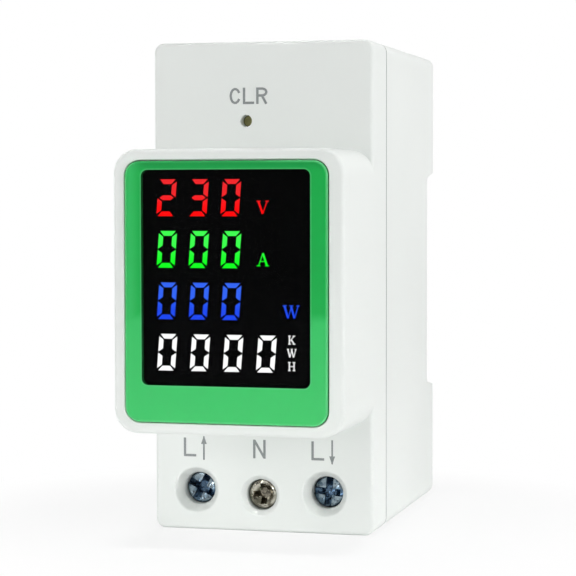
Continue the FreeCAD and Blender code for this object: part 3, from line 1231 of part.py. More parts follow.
def chip(place, size, board_face, side, leads):
    """A moulded chip on a board: side is 1 behind the board and -1 in front of it."""
    x, z = place
    width, height, thick = size
    near, far = board_face + side * CHIP_BOARD_GAP, board_face + side * (CHIP_BOARD_GAP + thick)
    depth0, depth1 = sorted((near, far))
    body = block(x - width / 2, x + width / 2, depth0, depth1, z - height / 2, z + height / 2)
    foot0, foot1 = sorted((board_face, board_face + side * CHIP_LEAD_HEIGHT))
    pitch = width / leads
    feet = []
    for i in range(leads):
        lead_x = x - width / 2 + pitch * (i + 0.5)
        feet.append(block(lead_x - CHIP_LEAD_WIDTH / 2, lead_x + CHIP_LEAD_WIDTH / 2, foot0, foot1,
                          z - height / 2 - CHIP_LEAD_REACH, z + height / 2 + CHIP_LEAD_REACH))
    return fused([body] + feet)


def metering_chip():
    return chip(METERING_CHIP_PLACE, METERING_CHIP_SIZE, CONTROL_BOARD_DEPTH + BOARD_THICKNESS, 1, 8)


def controller_chip():
    return chip(CONTROLLER_CHIP_PLACE, CONTROLLER_CHIP_SIZE, DISPLAY_BOARD_DEPTH + BOARD_THICKNESS, 1, 8)


def rectifier():
    return chip(RECTIFIER_PLACE, RECTIFIER_SIZE, POWER_BOARD_DEPTH, -1, 2)


def rail_latch():
    """The sliding latch: a bar with side flanges, a sloped jaw, a spring window and a screwdriver slot."""
    jaw_top = RAIL_BOTTOM + RAIL_GRIP
    outline = [(LATCH_FRONT, LATCH_BOTTOM), (LATCH_FRONT, jaw_top), (LATCH_FRONT + RAIL_FLANGE, jaw_top),
               (LATCH_REAR, jaw_top - LATCH_JAW_SLOPE), (LATCH_REAR, LATCH_BOTTOM)]
    bar = side_prism(outline, -LATCH_HALF_WIDTH, LATCH_HALF_WIDTH)
    reach = LATCH_HALF_WIDTH + LATCH_FLANGE_REACH
    flange = block(-reach, reach, LATCH_MIDDLE - LATCH_FLANGE_THICKNESS / 2,
                   LATCH_MIDDLE + LATCH_FLANGE_THICKNESS / 2, LATCH_BOTTOM, RECESS_BOTTOM - LATCH_CLEARANCE)
    window_half = PEG_HALF_WIDTH + LATCH_CLEARANCE
    window = block(-window_half, window_half, LATCH_FRONT - OVERRUN, LATCH_REAR + OVERRUN,
                   PEG_Z - LATCH_CLEARANCE, SPRING_TOP)
    slot = block(-LATCH_SLOT_HALF_WIDTH, LATCH_SLOT_HALF_WIDTH, LATCH_FRONT - OVERRUN, LATCH_REAR + OVERRUN,
                 LATCH_SLOT_Z, LATCH_SLOT_Z + LATCH_SLOT_HEIGHT)
    return bar.fuse(flange).cut([window, slot]).removeSplitter()


def latch_spring():
    """The coil between the peg and the top of the latch's window."""
    height = SPRING_SPACE - 2 * (SPRING_WIRE_RADIUS + SPRING_END_GAP)
    base = SPRING_BOTTOM + SPRING_WIRE_RADIUS + SPRING_END_GAP
    path = Part.makeHelix(height / SPRING_TURNS, height, SPRING_RADIUS)
    ring = Part.Wire(Part.makeCircle(SPRING_WIRE_RADIUS, FreeCAD.Vector(SPRING_RADIUS, 0, 0),
                                     FreeCAD.Vector(0, 1, 0)))
    coil = Part.Wire(path).makePipeShell([ring], True, True)
    coil.translate(vector(0, LATCH_MIDDLE, base))
    return coil


def ink(shapes):
    return fused(shapes) if len(shapes) > 1 else shapes[0]


def arc_ink(x, z, radius_x, radius_z, start_deg, end_deg, width):
    """A curved stroke of ink on the face: part of an elliptical ring, as short straight runs."""
    steps = 12
    points = []
    for i in range(steps + 1):
        angle = math.radians(start_deg + (end_deg - start_deg) * i / steps)
        points.append((math.cos(angle), math.sin(angle)))
    outer = [(x + radius_x * c, z + radius_z * s) for c, s in points]
    inner = [(x + (radius_x - width) * c, z + (radius_z - width) * s) for c, s in reversed(points)]
    return front_prism(outer + inner, -INK_THICKNESS, 0)


def label_letter(symbol, x):
    """One letter of the reset label."""
    z, w, h = LABEL_BASE_Z, LABEL_LETTER_WIDTH, LABEL_HEIGHT
    s = INK_STROKE
    if symbol == "C":
        return arc_ink(x + w / 2, z + h / 2, w / 2, h / 2, 25, 335, s)
    if symbol == "L":
        return ink([front_prism([(x, z), (x + s, z), (x + s, z + h), (x, z + h)], -INK_THICKNESS, 0),
                    front_prism([(x, z), (x + w, z), (x + w, z + s), (x, z + s)], -INK_THICKNESS, 0)])
    bowl = h * 0.28
    stem = front_prism([(x, z), (x + s, z), (x + s, z + h), (x, z + h)], -INK_THICKNESS, 0)
    top = front_prism([(x, z + h - s), (x + w / 2, z + h - s), (x + w / 2, z + h), (x, z + h)],
                      -INK_THICKNESS, 0)
    low = h - 2 * bowl
    middle = front_prism([(x, z + low), (x + w / 2, z + low), (x + w / 2, z + low + s), (x, z + low + s)],
                         -INK_THICKNESS, 0)
    curve = arc_ink(x + w / 2, z + h - bowl, w / 2, bowl, -90, 90, s)
    leg = stroke((x + w / 2, z + low + s / 2), (x + w - s / 2, z), s, -INK_THICKNESS, 0)
    return ink([stem, top, middle, curve, leg])


def arrow(x, up):
    """A thin arrow beside a line terminal's letter, pointing up or down."""
    low, high = ARROW_BASE_Z, ARROW_BASE_Z + ARROW_LENGTH
    half = INK_THIN_STROKE / 2
    tip, base = (high, high - ARROW_HEAD) if up else (low, low + ARROW_HEAD)
    shaft = front_prism([(x - half, low + half), (x + half, low + half), (x + half, high - half),
                         (x - half, high - half)], -INK_THICKNESS, 0)
    head = front_prism([(x - ARROW_HEAD_WIDTH / 2, base), (x + ARROW_HEAD_WIDTH / 2, base), (x, tip)],
                       -INK_THICKNESS, 0)
    return fused([shaft, head])


def terminal_mark(symbol, x):
    return letter(symbol, x, MARK_BASE_Z, MARK_WIDTH, MARK_HEIGHT, INK_STROKE, INK_STROKE, -INK_THICKNESS, 0)


def front_marks():
    """The plain function marks printed on the front: the reset label, L, N and the two arrows."""
    marks = [label_letter(symbol, LABEL_LEFT_X + i * LABEL_LETTER_PITCH) for i, symbol in enumerate("CLR")]
    marks.append(terminal_mark("L", LINE_IN_X + LINE_MARK_OFFSET))
    marks.append(arrow(LINE_IN_X + ARROW_OFFSET, True))
    marks.append(terminal_mark("N", TERMINAL_CENTRE_X + NEUTRAL_MARK_OFFSET))
    marks.append(terminal_mark("L", LINE_OUT_X + LINE_MARK_OFFSET))
    marks.append(arrow(LINE_OUT_X + ARROW_OFFSET, False))
    return Part.makeCompound(marks)


os.makedirs("parts", exist_ok=True)
save("front_shell", front_shell())
save("rear_shell", rear_shell())
save("fascia", fascia())
save("display_window", display_window())
save("display_module", display_module())
for row, name in enumerate(("voltage_digits", "current_digits", "power_digits", "energy_digits")):
    save(name, Part.makeCompound(row_solids(row, 0)))
save("display_pins", display_pins())
save("display_board", display_board())
save("control_board", control_board())
save("power_board", power_board())
save("link_pins", link_pins())
save("link_headers", link_headers())
save("board_screws", board_screws())
save("reset_switch", reset_switch())
save("reset_plunger", reset_plunger())
save("line_in_screw", line_screw(TERMINALS["line_in"], LINE_IN_LEAN_DEG))
save("neutral_screw", neutral_screw(TERMINALS["neutral"]))
save("line_out_screw", line_screw(TERMINALS["line_out"], LINE_OUT_LEAN_DEG))
for name, terminal in TERMINALS.items():
    save(name + "_cage", cage(terminal))
save("line_bus_bar", line_bus_bar())
save("neutral_tab", neutral_tab())
save("line_tap", line_tap())
save("current_transformer", current_transformer())
save("bar_sleeve", bar_sleeve())
save("transformer_leads", transformer_leads())
save("bulk_capacitor", can(BULK_CAPACITOR_PLACE, BULK_CAPACITOR_RADIUS, BULK_CAPACITOR_HEIGHT))
save("filter_capacitor", can(FILTER_CAPACITOR_PLACE, FILTER_CAPACITOR_RADIUS, FILTER_CAPACITOR_HEIGHT))
save("film_capacitor", film_capacitor())
save("varistor", varistor())
save("fuse_resistor", fuse_resistor())
save("inductor", inductor())
save("metering_chip", metering_chip())
save("controller_chip", controller_chip())
save("rectifier", rectifier())
save("rail_latch", rail_latch())
save("latch_spring", latch_spring())
save("front_marks", front_marks())
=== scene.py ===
import math

import bmesh
import bpy
from mathutils import Matrix, Vector


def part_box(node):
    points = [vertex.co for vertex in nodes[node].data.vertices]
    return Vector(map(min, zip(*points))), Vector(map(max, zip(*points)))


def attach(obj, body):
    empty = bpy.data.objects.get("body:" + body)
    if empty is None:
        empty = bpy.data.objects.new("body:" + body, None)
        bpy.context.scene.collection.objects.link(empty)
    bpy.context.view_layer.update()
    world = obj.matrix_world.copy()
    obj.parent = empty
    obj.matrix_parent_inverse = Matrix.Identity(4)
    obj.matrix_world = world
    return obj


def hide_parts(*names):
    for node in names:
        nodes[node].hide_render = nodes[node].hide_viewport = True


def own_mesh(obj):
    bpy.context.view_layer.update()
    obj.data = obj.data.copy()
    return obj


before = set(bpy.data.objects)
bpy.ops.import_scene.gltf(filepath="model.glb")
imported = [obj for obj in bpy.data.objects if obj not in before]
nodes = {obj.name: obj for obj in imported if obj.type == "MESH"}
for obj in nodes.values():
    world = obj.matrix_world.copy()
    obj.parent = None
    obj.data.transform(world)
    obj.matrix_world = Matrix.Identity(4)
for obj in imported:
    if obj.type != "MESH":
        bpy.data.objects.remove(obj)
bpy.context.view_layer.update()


# The housing is two shells moulded in off-white flame-proof plastic. The mould was spark eroded,
# which leaves a very fine grain, and the shade drifts a little over the walls. The front shell
# carries the display hood and the three screw wells, and the rear shell snaps on behind it.
HOUSING_WHITE = (0.835, 0.862, 0.840)
HOUSING_SHADE = (0.800, 0.830, 0.806)
HOUSING_GRAIN, HOUSING_GRAIN_DEPTH, HOUSING_DRIFT = 0.00022, 0.000004, 0.045
# The walls inside the seam gap between the shells are coloured darker: a painted shade.
SEAM_FRONT, SEAM_BACK, SEAM_SOFT, SEAM_PAINTED_SHADE = -0.0057, -0.0054, 0.00006, (0.36, 0.38, 0.37)


class Wire:
    """A socket of a shader. Sums on it add Math nodes, and add() makes any other node."""

    def __init__(self, tree, socket=None):
        self.tree, self.socket = tree, socket

    def add(self, kind, settings=None, inputs=None, output=0):
        node = self.tree.nodes.new(kind)
        for name, value in (settings or {}).items():
            setattr(node, name, value)
        for name, value in (inputs or {}).items():
            if isinstance(value, Wire):
                self.tree.links.new(value.socket, node.inputs[name])
            else:
                node.inputs[name].default_value = value
        return Wire(self.tree, node.outputs[output])

    def maths(self, operation, first, second=0.0):
        return self.add("ShaderNodeMath", {"operation": operation}, {0: first, 1: second})

    def __add__(self, other):
        return self.maths("ADD", self, other)

    def __radd__(self, other):
        return self.maths("ADD", other, self)

    def __sub__(self, other):
        return self.maths("SUBTRACT", self, other)

    def __rsub__(self, other):
        return self.maths("SUBTRACT", other, self)

    def __mul__(self, other):
        return self.maths("MULTIPLY", self, other)

    def __rmul__(self, other):
        return self.maths("MULTIPLY", other, self)

    def __truediv__(self, other):
        return self.maths("DIVIDE", self, other)

    def __abs__(self):
        return self.maths("ABSOLUTE", self)

    def highest(self, other):
        return self.maths("MAXIMUM", self, other)

    def rise(self, low, high):
        """0 below low, 1 above high, and smooth between."""
        return self.add("ShaderNodeMapRange", {"interpolation_type": "SMOOTHSTEP"},
                        {0: self, 1: low, 2: high, 3: 0.0, 4: 1.0})

    def between(self, first, second):
        """The colour that is first where this wire is 0, and second where it is 1."""
        first, second = [end if isinstance(end, Wire) else (*end, 1.0) for end in (first, second)]
        return self.add("ShaderNodeMix", {"data_type": "RGBA"}, {0: self, 6: first, 7: second}, 2)

    def axis(self, which):
        return self.add("ShaderNodeSeparateXYZ", {}, {0: self}, which)

    def noise(self, size, detail=2.0, roughness=0.5):
        """Noise from 0 to 1, with features about this size in metres."""
        return self.add("ShaderNodeTexNoise", {}, {"Vector": self, "Scale": 1 / size, "Detail": detail,
                                                   "Roughness": roughness})

    def stretched(self, scale):
        return self.add("ShaderNodeVectorMath", {"operation": "MULTIPLY"}, {0: self, 1: scale})

    def relief(self, depth):
        """The normals of a height from 0 to 1 that stands for this many metres."""
        return self.add("ShaderNodeBump", {}, {"Strength": 1.0, "Distance": depth, "Height": self})


def finish(name, colour, roughness, **constants):
    """A material and the wire of its object coordinates. What doesn't vary is set on its sockets."""
    material = bpy.data.materials.new(name)
    material.use_nodes = True
    shader = material.node_tree.nodes["Principled BSDF"]
    shader.inputs["Base Color"].default_value = (*colour, 1.0)
    shader.inputs["Roughness"].default_value = roughness
    for socket, value in constants.items():
        shader.inputs[socket.replace("_", " ")].default_value = value
    return material, Wire(material.node_tree).add("ShaderNodeTexCoord", {}, {}, "Object")


def feed(material, **wires):
    """Links what varies to the sockets of a material's shader."""
    shader = material.node_tree.nodes["Principled BSDF"]
    for socket, wire in wires.items():
        material.node_tree.links.new(wire.socket, shader.inputs[socket.replace("_", " ")])


def dress(material, *names):
    """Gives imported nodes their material."""
    for name in names:
        packed = nodes[name]
        if len(packed.material_slots) == 0:
            packed.data.materials.append(material)
        for slot in packed.material_slots:
            slot.material = material


def moulded(name, colour, shade, roughness, grain_size, grain_depth, drift_size=0.012):
    """A moulded plastic or resin with a fine grain and a slow drift of shade."""
    material, at = finish(name, colour, roughness, Specular_IOR_Level=0.4)
    grain = at.noise(grain_size, 3.0, 0.6)
    drift = at.noise(drift_size, 2.0).rise(0.3, 0.75)
    feed(material, Base_Color=(drift * 0.7 + grain * 0.15).between(colour, shade),
         Roughness=roughness - 0.06 + grain * 0.12, Normal=grain.relief(grain_depth))
    return material


housing_plastic = moulded("housing_plastic", HOUSING_WHITE, HOUSING_SHADE, 0.42, HOUSING_GRAIN,
                          HOUSING_GRAIN_DEPTH, HOUSING_DRIFT)
shell_shader = housing_plastic.node_tree.nodes["Principled BSDF"]
shell_paint = Wire(housing_plastic.node_tree, shell_shader.inputs["Base Color"].links[0].from_socket)
# Painted shade: the seam gap between the shells is coloured darker.
depth = shell_paint.add("ShaderNodeTexCoord", {}, {}, "Object").axis(1)
past_front = depth.rise(SEAM_FRONT - SEAM_SOFT, SEAM_FRONT)
past_back = depth.rise(SEAM_BACK, SEAM_BACK + SEAM_SOFT)
in_seam = past_front * (1.0 - past_back)
feed(housing_plastic, Base_Color=in_seam.between(shell_paint, SEAM_PAINTED_SHADE))
dress(housing_plastic, "front_shell", "rear_shell")


# The coloured frame is a glossy clear moulding with rounded edges, backed with green. Its edge
# and the thin line around the window carry a painted highlight, where light gets into the clear edge.
FASCIA_DEEP, FASCIA_PAINTED_SHEEN = (0.009, 0.435, 0.074), (0.038, 0.560, 0.135)
FASCIA_TOP_SHADE, FASCIA_RIM_HIGHLIGHT = (0.010, 0.340, 0.068), (0.120, 0.620, 0.240)
FASCIA_CORNER, WINDOW_CORNER, WINDOW_FLANGE = 0.0023, 0.0010, 0.0009
# The frame is painted paler below TABLE_LINE, a painted reflection of the white table, and along
# its left edge, a painted sheen, and painted darker at its top, a painted shade.
TABLE_LINE, TABLE_LINE_SOFT, TOP_DARK = 0.0355, 0.0012, (0.0570, 0.0585)
LEFT_GLOW_ON, LEFT_GLOW_OFF, LEFT_GLOW = (-0.0161, -0.0156), (-0.0154, -0.0132), 0.75
# The painted rim highlight is palest at the right and along the foot, where the lamps light it.
RIM_LIT_RIGHT, RIM_LIT_BELOW, RIM_SHARE, RIM_LIT_SHARE = (0.002, 0.013), (0.021, 0.027), 0.18, 0.5
RIM_BAND, WINDOW_LINE, WINDOW_LINE_SHARE = (-0.00042, -0.00012), (0.00008, 0.0003), 0.4


def edge_distance(at, low, high, corner):
    """How far outside a round-cornered rectangle a point lies, seen from the front."""
    across = abs(at.axis(0) - (low.x + high.x) / 2) - ((high.x - low.x) / 2 - corner)
    along = abs(at.axis(2) - (low.z + high.z) / 2) - ((high.z - low.z) / 2 - corner)
    outer_x, outer_z = across.highest(0.0), along.highest(0.0)
    reach = across.maths("SQRT", outer_x * outer_x + outer_z * outer_z)
    inner = across.maths("MINIMUM", across.highest(along), 0.0)
    return reach + inner - corner


fascia_gloss, at = finish("fascia_gloss", FASCIA_DEEP, 0.14, Specular_IOR_Level=0.5)
outside = edge_distance(at, *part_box("fascia"), FASCIA_CORNER)
window_low, window_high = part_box("display_window")
flange = Vector((WINDOW_FLANGE, 0.0, WINDOW_FLANGE))
inside = edge_distance(at, window_low + flange, window_high - flange, WINDOW_CORNER)
# Painted reflection of the table below the line, painted sheen at the left edge, painted shade at the top.
table_reflection = 1.0 - at.axis(2).rise(TABLE_LINE - TABLE_LINE_SOFT, TABLE_LINE + TABLE_LINE_SOFT)
painted_left_sheen = at.axis(0).rise(*LEFT_GLOW_ON) * (1.0 - at.axis(0).rise(*LEFT_GLOW_OFF)) * LEFT_GLOW
deep = at.axis(2).rise(*TOP_DARK).between(FASCIA_DEEP, FASCIA_TOP_SHADE)
green = table_reflection.highest(painted_left_sheen + at.noise(0.003, 2.0) * 0.06).between(deep, FASCIA_PAINTED_SHEEN)
# The rim and the line around the window are a painted highlight.
lit_side = at.axis(0).rise(*RIM_LIT_RIGHT).highest(1.0 - at.axis(2).rise(*RIM_LIT_BELOW))
rim = outside.rise(*RIM_BAND) * (RIM_SHARE + lit_side * RIM_LIT_SHARE)
line = (1.0 - inside.rise(*WINDOW_LINE)) * WINDOW_LINE_SHARE
feed(fascia_gloss, Base_Color=rim.highest(line).between(green, FASCIA_RIM_HIGHLIGHT),
     Roughness=0.10 + at.noise(0.0015, 3.0) * 0.08, Normal=at.noise(0.006, 1.0).relief(0.00001))
dress(fascia_gloss, "fascia")


# The window is a flush insert of smoked plastic, clear enough to see the lit digits behind it.
WINDOW_SMOKE, WINDOW_ALPHA = (0.0016, 0.0018, 0.0020), 0.40
window_smoke, at = finish("window_smoke", WINDOW_SMOKE, 0.2, Specular_IOR_Level=0.07, Alpha=WINDOW_ALPHA)
feed(window_smoke, Roughness=0.16 + at.noise(0.0012, 2.0) * 0.08)
dress(window_smoke, "display_window")


# The display is one black block with four rows of lit bars and unit letters set in its face. Each
# is a light pipe over its own diode, purest at the foot of the row and paler at its top. The window
# dims them twice, at its front and its back.
module_black, at = finish("module_black", (0.0016, 0.0016, 0.0018), 0.6, Specular_IOR_Level=0.05)
feed(module_black, Roughness=0.5 + at.noise(0.0004) * 0.2)
dress(module_black, "display_module")
LIT_ROWS = {
    "voltage_digits": ((1.0, 0.000, 0.000), (0.80, 0.022, 0.026)),
    "current_digits": ((0.0, 1.0, 0.007), (0.052, 1.0, 0.085)),
    "power_digits": ((0.008, 0.050, 0.80), (0.034, 0.130, 0.86)),
    "energy_digits": ((1.0, 1.0, 1.0), (1.0, 1.0, 1.0)),
}
for name, (foot_colour, top_colour) in LIT_ROWS.items():
    light_pipe, at = finish(name + "_light", tuple(0.5 * part for part in foot_colour), 0.4,
                            Specular_IOR_Level=0.05, Emission_Strength=1.0 / (1.0 - WINDOW_ALPHA) ** 2)
    foot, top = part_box(name)
    height = (at.axis(2) - foot.z) / (top.z - foot.z)
    glow = height.rise(0.1, 0.75) * 0.85 + at.noise(0.0007, 2.0) * 0.2
    feed(light_pipe, Emission_Color=glow.between(foot_colour, top_colour))
    dress(light_pipe, name)


# The boards are green glass laminate, with a weave under the lacquer and a faint net of tracks.
BOARD_GREEN, BOARD_TRACK = (0.010, 0.105, 0.035), (0.020, 0.165, 0.060)
WEAVE_PITCH, TRACK_PITCH = 0.0006, 0.004
board_laminate, at = finish("board_laminate", BOARD_GREEN, 0.32, Specular_IOR_Level=0.5)
weave = (at.maths("SINE", at.axis(0) * (2 * math.pi / WEAVE_PITCH))
         * at.maths("SINE", at.axis(2) * (2 * math.pi / WEAVE_PITCH)))
tracks = at.add("ShaderNodeTexBrick", {"offset": 0.35},
                {"Vector": at, "Scale": 1 / TRACK_PITCH, "Mortar Size": 0.12}, 1)
feed(board_laminate, Base_Color=(tracks * 0.8).between(BOARD_GREEN, BOARD_TRACK),
     Roughness=0.28 + at.noise(0.001) * 0.1, Normal=(weave * 0.5 + 0.5).relief(0.000004))
dress(board_laminate, "display_board", "control_board", "power_board")


# The parts on the boards: moulded chips, headers and the reset switch, sleeved capacitors, a boxed
# film capacitor, a surge disc, a cement-coated resistor and a ferrite choke.
for name, colour, shade, roughness, grain_size, grain_depth, pieces in (
        ("chip_black", (0.018, 0.018, 0.019), (0.03, 0.03, 0.03), 0.5, 0.0003, 0.000006,
         ("link_headers", "metering_chip", "controller_chip", "rectifier", "reset_switch")),
        ("capacitor_sleeve", (0.012, 0.014, 0.03), (0.02, 0.022, 0.04), 0.3, 0.001, 0.000004,
         ("bulk_capacitor", "filter_capacitor")),
        ("capacitor_box", (0.62, 0.46, 0.05), (0.52, 0.38, 0.04), 0.4, 0.0005, 0.000006, ("film_capacitor",)),
        ("surge_disc", (0.02, 0.09, 0.30), (0.015, 0.06, 0.22), 0.35, 0.0008, 0.00002, ("varistor",)),
        ("resistor_coat", (0.15, 0.33, 0.30), (0.10, 0.26, 0.24), 0.6, 0.0004, 0.00002, ("fuse_resistor",)),
        ("choke_ferrite", (0.05, 0.05, 0.055), (0.08, 0.08, 0.08), 0.65, 0.0004, 0.00001, ("inductor",))):
    dress(moulded(name, colour, shade, roughness, grain_size, grain_depth), *pieces)


# The reset plunger is the switch's own stem in olive nylon. Its tip shows in the pin-hole.
dress(moulded("plunger_nylon", (0.46, 0.43, 0.18), (0.27, 0.25, 0.10), 0.5, 0.0003, 0.00002, 0.0006),
      "reset_plunger")


# The current transformer is a ring potted in blue resin. It sits on the copper bar with a natural
# nylon sleeve between them.
dress(moulded("ring_resin", (0.015, 0.05, 0.20), (0.01, 0.03, 0.12), 0.35, 0.0006, 0.00001),
      "current_transformer")
dress(moulded("sleeve_nylon", (0.62, 0.60, 0.52), (0.52, 0.50, 0.43), 0.45, 0.0005, 0.000006), "bar_sleeve")


# The conductors: a copper bar and strip stamped from sheet, and tinned pins and leads.
def plated(name, colour, dull, roughness, streak_depth):
    """A plated metal with duller patches and fine drawn streaks."""
    material, at = finish(name, colour, roughness, Metallic=1.0)
    patch = at.noise(0.0011, 4.0, 0.65).rise(0.38, 0.7)
    streaks = at.stretched((1.0, 1.0, 0.08)).noise(0.00008, 2.0)
    feed(material, Base_Color=(patch * 0.7).between(colour, dull), Roughness=roughness - 0.08 + patch * 0.2,
         Normal=streaks.relief(streak_depth))
    return material


dress(plated("copper_strip", (0.78, 0.40, 0.25), (0.50, 0.24, 0.14), 0.33, 0.000003),
      "line_bus_bar", "neutral_tab")
dress(plated("tinned_wire", (0.62, 0.62, 0.60), (0.42, 0.42, 0.41), 0.36, 0.000002),
      "line_tap", "display_pins", "link_pins", "transformer_leads")


# The lift cages are folded steel with a yellowish plating. A screw in each draws its cage up to
# the bar and clamps the wire.
dress(plated("cage_steel", (0.60, 0.57, 0.48), (0.40, 0.37, 0.30), 0.35, 0.000003),
      "line_in_cage", "neutral_cage", "line_out_cage")


# The clamp screws. The two outer ones are steel with a dark blue zinc finish, struck rough by the
# heading tool, and the middle one is nickel plated, as are the small screws of the boards. Painted
# shade darkens the finish down in the recess and round the rolled edge of the head.
# The recess and edge colours below are painted shade.
SCREW_EDGE, RECESS_START, RECESS_FULL = 0.00022, 0.00015, 0.0005
ZINC, ZINC_DULL = (0.30, 0.37, 0.42), (0.085, 0.135, 0.180)
ZINC_RECESS_SHADE, ZINC_EDGE_SHADE = (0.085, 0.140, 0.215), (0.030, 0.050, 0.075)
NICKEL, NICKEL_DULL = (0.64, 0.61, 0.53), (0.19, 0.175, 0.135)
NICKEL_RECESS_SHADE, NICKEL_EDGE_SHADE = (0.24, 0.22, 0.175), (0.060, 0.058, 0.045)


def struck(screw, colour, dull, recess, edge, roughness, dent_depth):
    """Dented facets, bright and dull patches, and painted shade in a screw's recess and round its head."""
    low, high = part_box(screw)
    material, at = finish(screw + "_finish", colour, roughness, Metallic=1.0)
    patch = at.noise(0.0013, 3.0, 0.6).rise(0.40, 0.62)
    below = at.axis(1).rise(low.y + RECESS_START, low.y + RECESS_FULL)
    across, along = at.axis(0) - (low.x + high.x) / 2, at.axis(2) - (low.z + high.z) / 2
    head_radius = (high.x - low.x) / 2
    rolled = at.maths("SQRT", across * across + along * along)
    at_edge = rolled.rise(head_radius - SCREW_EDGE, head_radius - SCREW_EDGE / 2)
    # Painted shade: the recess and the rolled edge of the head are coloured darker.
    face = below.between(patch.between(colour, dull), recess)
    feed(material, Base_Color=at_edge.between(face, edge), Roughness=roughness + patch * 0.12,
         Normal=at.noise(0.0020, 2.0, 0.5).relief(dent_depth))
    dress(material, screw)


for screw in ("line_in_screw", "line_out_screw"):
    struck(screw, ZINC, ZINC_DULL, ZINC_RECESS_SHADE, ZINC_EDGE_SHADE, 0.20, 0.00080)
struck("neutral_screw", NICKEL, NICKEL_DULL, NICKEL_RECESS_SHADE, NICKEL_EDGE_SHADE, 0.13, 0.00060)
dress(plated("board_screw_nickel", (0.66, 0.63, 0.55), (0.36, 0.33, 0.27), 0.22, 0.000003), "board_screws")


# The rail latch is a black nylon slide at the back.
dress(moulded("latch_nylon", (0.022, 0.022, 0.024), (0.035, 0.035, 0.037), 0.5, 0.0004, 0.00001),
      "rail_latch")


# Its spring is wound from bright wire: a closed coil at each end, and open coils between. It stands
# on a peg of the rear shell and is squeezed when the latch is pulled down.
SPRING_AXIS_Y, SPRING_FOOT, SPRING_HEAD = 0.0322, 0.00673, 0.01367
SPRING_RADIUS, WIRE_RADIUS, OPEN_TURNS = 0.00135, 0.00022, 4
WIRE_SIDES, TURN_STEPS, CLOSED_PITCH = 10, 28, 2.1
coil = bmesh.new()
ring = bmesh.ops.create_circle(coil, segments=WIRE_SIDES, radius=WIRE_RADIUS)["verts"]
bmesh.ops.rotate(coil, verts=ring, cent=(0, 0, 0), matrix=Matrix.Rotation(math.pi / 2, 3, "X"))
bmesh.ops.translate(coil, verts=ring, vec=(SPRING_RADIUS, 0, SPRING_FOOT + WIRE_RADIUS))
closed_rise = CLOSED_PITCH * WIRE_RADIUS
open_rise = (SPRING_HEAD - SPRING_FOOT - 2 * WIRE_RADIUS - 2 * closed_rise) / OPEN_TURNS
bottom_cap = bmesh.ops.contextual_create(coil, geom=coil.edges[:])["faces"]
wire_end = bottom_cap + coil.edges[:] + coil.verts[:]
for rise, turns in ((closed_rise, 1), (open_rise, OPEN_TURNS), (closed_rise, 1)):
    steps = TURN_STEPS * turns
    wire_end = bmesh.ops.spin(coil, geom=wire_end, cent=(0, 0, 0), axis=(0, 0, 1),
                              angle=turns * 2 * math.pi, steps=steps,
                              dvec=(0, 0, rise * turns / steps), use_merge=False,
                              use_duplicate=False)["geom_last"]
bmesh.ops.translate(coil, verts=coil.verts, vec=(0, SPRING_AXIS_Y, 0))
bmesh.ops.recalc_face_normals(coil, faces=coil.faces)
for face in coil.faces:
    face.smooth = True
coil_mesh = bpy.data.meshes.new("latch_coil")
coil.to_mesh(coil_mesh)
coil.free()
latch_coil = bpy.data.objects.new("latch_coil", coil_mesh)
bpy.context.scene.collection.objects.link(latch_coil)
coil_mesh.materials.append(plated("spring_wire", (0.55, 0.55, 0.55), (0.35, 0.35, 0.34), 0.3, 0.000002))
dress(coil_mesh.materials[0], "latch_spring")
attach(latch_coil, "housing")
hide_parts("latch_spring")
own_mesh(latch_coil)


# The marks on the front are pad printed in grey ink, a little uneven.
INK_GREY, INK_THIN = (0.255, 0.275, 0.275), (0.36, 0.38, 0.38)
ink, at = finish("ink", INK_GREY, 0.55, Specular_IOR_Level=0.3)
feed(ink, Base_Color=(at.noise(0.00025, 2.0).rise(0.35, 0.75) * 0.5).between(INK_GREY, INK_THIN))
dress(ink, "front_marks")


# The meter stands on a plain white table. The table keeps a soft shadow under it, and fades to
# the white background further off.
TABLE_FRONT, TABLE_BACK, TABLE_HALF_WIDTH = -0.55, 1.2, 0.9
SHADOW_NEAR, SHADOW_FAR, WHITE_AT_BASE = 0.028, 0.07, 0.75
plane = bmesh.new()
bmesh.ops.create_grid(plane, x_segments=1, y_segments=1, size=1.0)
bmesh.ops.scale(plane, vec=(TABLE_HALF_WIDTH, (TABLE_BACK - TABLE_FRONT) / 2, 1.0), verts=plane.verts)
bmesh.ops.translate(plane, vec=(0.0, (TABLE_BACK + TABLE_FRONT) / 2, 0.0), verts=plane.verts)
table_mesh = bpy.data.meshes.new("table")
plane.to_mesh(table_mesh)
plane.free()
table = bpy.data.objects.new("table", table_mesh)
bpy.context.scene.collection.objects.link(table)
table_white, at = finish("table_white", (0.93, 0.93, 0.93), 0.9, Specular_IOR_Level=0.0)
table_mesh.materials.append(table_white)
distance = at.add("ShaderNodeVectorMath", {"operation": "LENGTH"}, {0: at}, "Value")
seen = at.add("ShaderNodeLightPath", {}, {}, "Is Camera Ray")
white_share = (WHITE_AT_BASE + (1.0 - WHITE_AT_BASE) * distance.rise(SHADOW_NEAR, SHADOW_FAR)) * seen
white_glow = at.add("ShaderNodeEmission", {}, {"Color": (1.0, 1.0, 1.0, 1.0), "Strength": 1.0})
paint = Wire(table_white.node_tree, table_white.node_tree.nodes["Principled BSDF"].outputs[0])
surface = at.add("ShaderNodeMixShader", {}, {0: white_share, 1: paint, 2: white_glow})
table_output = table_white.node_tree.nodes["Material Output"]
table_white.node_tree.links.new(surface.socket, table_output.inputs["Surface"])


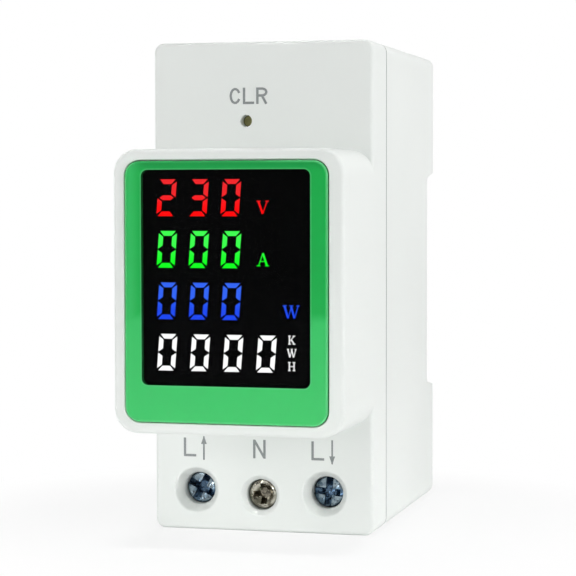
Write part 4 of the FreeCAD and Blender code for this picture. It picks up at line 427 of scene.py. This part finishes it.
# The room is white where the camera or glass looks past the meter. It lights the meter softly from
# all round, and is darker in front, behind the camera.
ROOM_LIGHT, ROOM_SHINE_BACK, ROOM_SHINE_FRONT = 0.32, 0.85, 0.20
FRONT_TO_BACK = (-0.55, 0.1)
room = bpy.data.worlds.new("room")
room.use_nodes = True
bpy.context.scene.world = room
sky = Wire(room.node_tree)
camera_ray, glass_ray, glossy_ray = [
    sky.add("ShaderNodeLightPath", {}, {}, ray)
    for ray in ("Is Camera Ray", "Is Transmission Ray", "Is Glossy Ray")]
forward = sky.add("ShaderNodeTexCoord", {}, {}, "Generated").axis(1)
shine = ROOM_SHINE_FRONT + forward.rise(*FRONT_TO_BACK) * (ROOM_SHINE_BACK - ROOM_SHINE_FRONT)
level = ROOM_LIGHT + (shine - ROOM_LIGHT) * glossy_ray
level = level + (1.0 - level) * camera_ray.highest(glass_ray)
background = room.node_tree.nodes["Background"]
background.inputs["Color"].default_value = (1.0, 1.0, 1.0, 1.0)
room.node_tree.links.new(level.socket, background.inputs["Strength"])


# Soft lamps: one above that fills the table with light, one on the right, two in front on the left,
# a low narrow one for the face under the hood, and one behind.
for name, place, aim, size, power, spread in (
        ("lamp_above", (0.04, -0.14, 1.40), (0.04, -0.14, 0.0), 0.25, 0.15, 22),
        ("lamp_right", (0.85, -0.10, 0.28), (0.0, 0.0, 0.03), 0.5, 4.1, 180),
        ("lamp_left", (-0.65, -0.72, 0.38), (0.0, 0.0, 0.04), 0.5, 2.5, 180),
        ("lamp_front", (-0.50, -0.72, 0.05), (0.0, 0.0, 0.01), 0.2, 1.1, 180),
        ("lamp_foot", (0.40, -0.72, 0.04), (-0.006, -0.015, -0.010), 0.06, 0.0030, 6),
        ("lamp_back", (-0.35, 0.90, 0.45), (0.0, 0.0, 0.04), 0.5, 1.4, 180)):
    lamp = bpy.data.objects.new(name, bpy.data.lights.new(name, "AREA"))
    lamp.data.shape = "SQUARE"
    lamp.data.size = size
    lamp.data.energy = power
    lamp.data.spread = math.radians(spread)
    lamp.matrix_world = (Matrix.Translation(place)
                         @ (Vector(aim) - Vector(place)).to_track_quat("-Z", "Y").to_matrix().to_4x4())
    bpy.context.scene.collection.objects.link(lamp)


# The camera stands a little to the right and looks slightly down through a long lens. Its place,
# angles and lens were fitted to the edges of the real meter as photographed.
CAMERA_PLACE, CAMERA_LENS = (0.08726, -0.32839, 0.05374), 128.007
CAMERA_YAW, CAMERA_DOWN, CAMERA_ROLL = math.radians(14.86), math.radians(2.60), math.radians(-0.08)
camera = bpy.data.objects.new("camera", bpy.data.cameras.new("camera"))
bpy.context.scene.collection.objects.link(camera)
camera.data.sensor_width = 36.0
camera.data.lens = CAMERA_LENS
camera.data.clip_start, camera.data.clip_end = 0.01, 20.0
turn = Matrix.Rotation(CAMERA_YAW, 4, "Z") @ Matrix.Rotation(math.pi / 2 - CAMERA_DOWN, 4, "X")
camera.matrix_world = Matrix.Translation(CAMERA_PLACE) @ turn @ Matrix.Rotation(CAMERA_ROLL, 4, "Z")
bpy.context.scene.camera = camera
bpy.context.scene.view_settings.view_transform = "Standard"
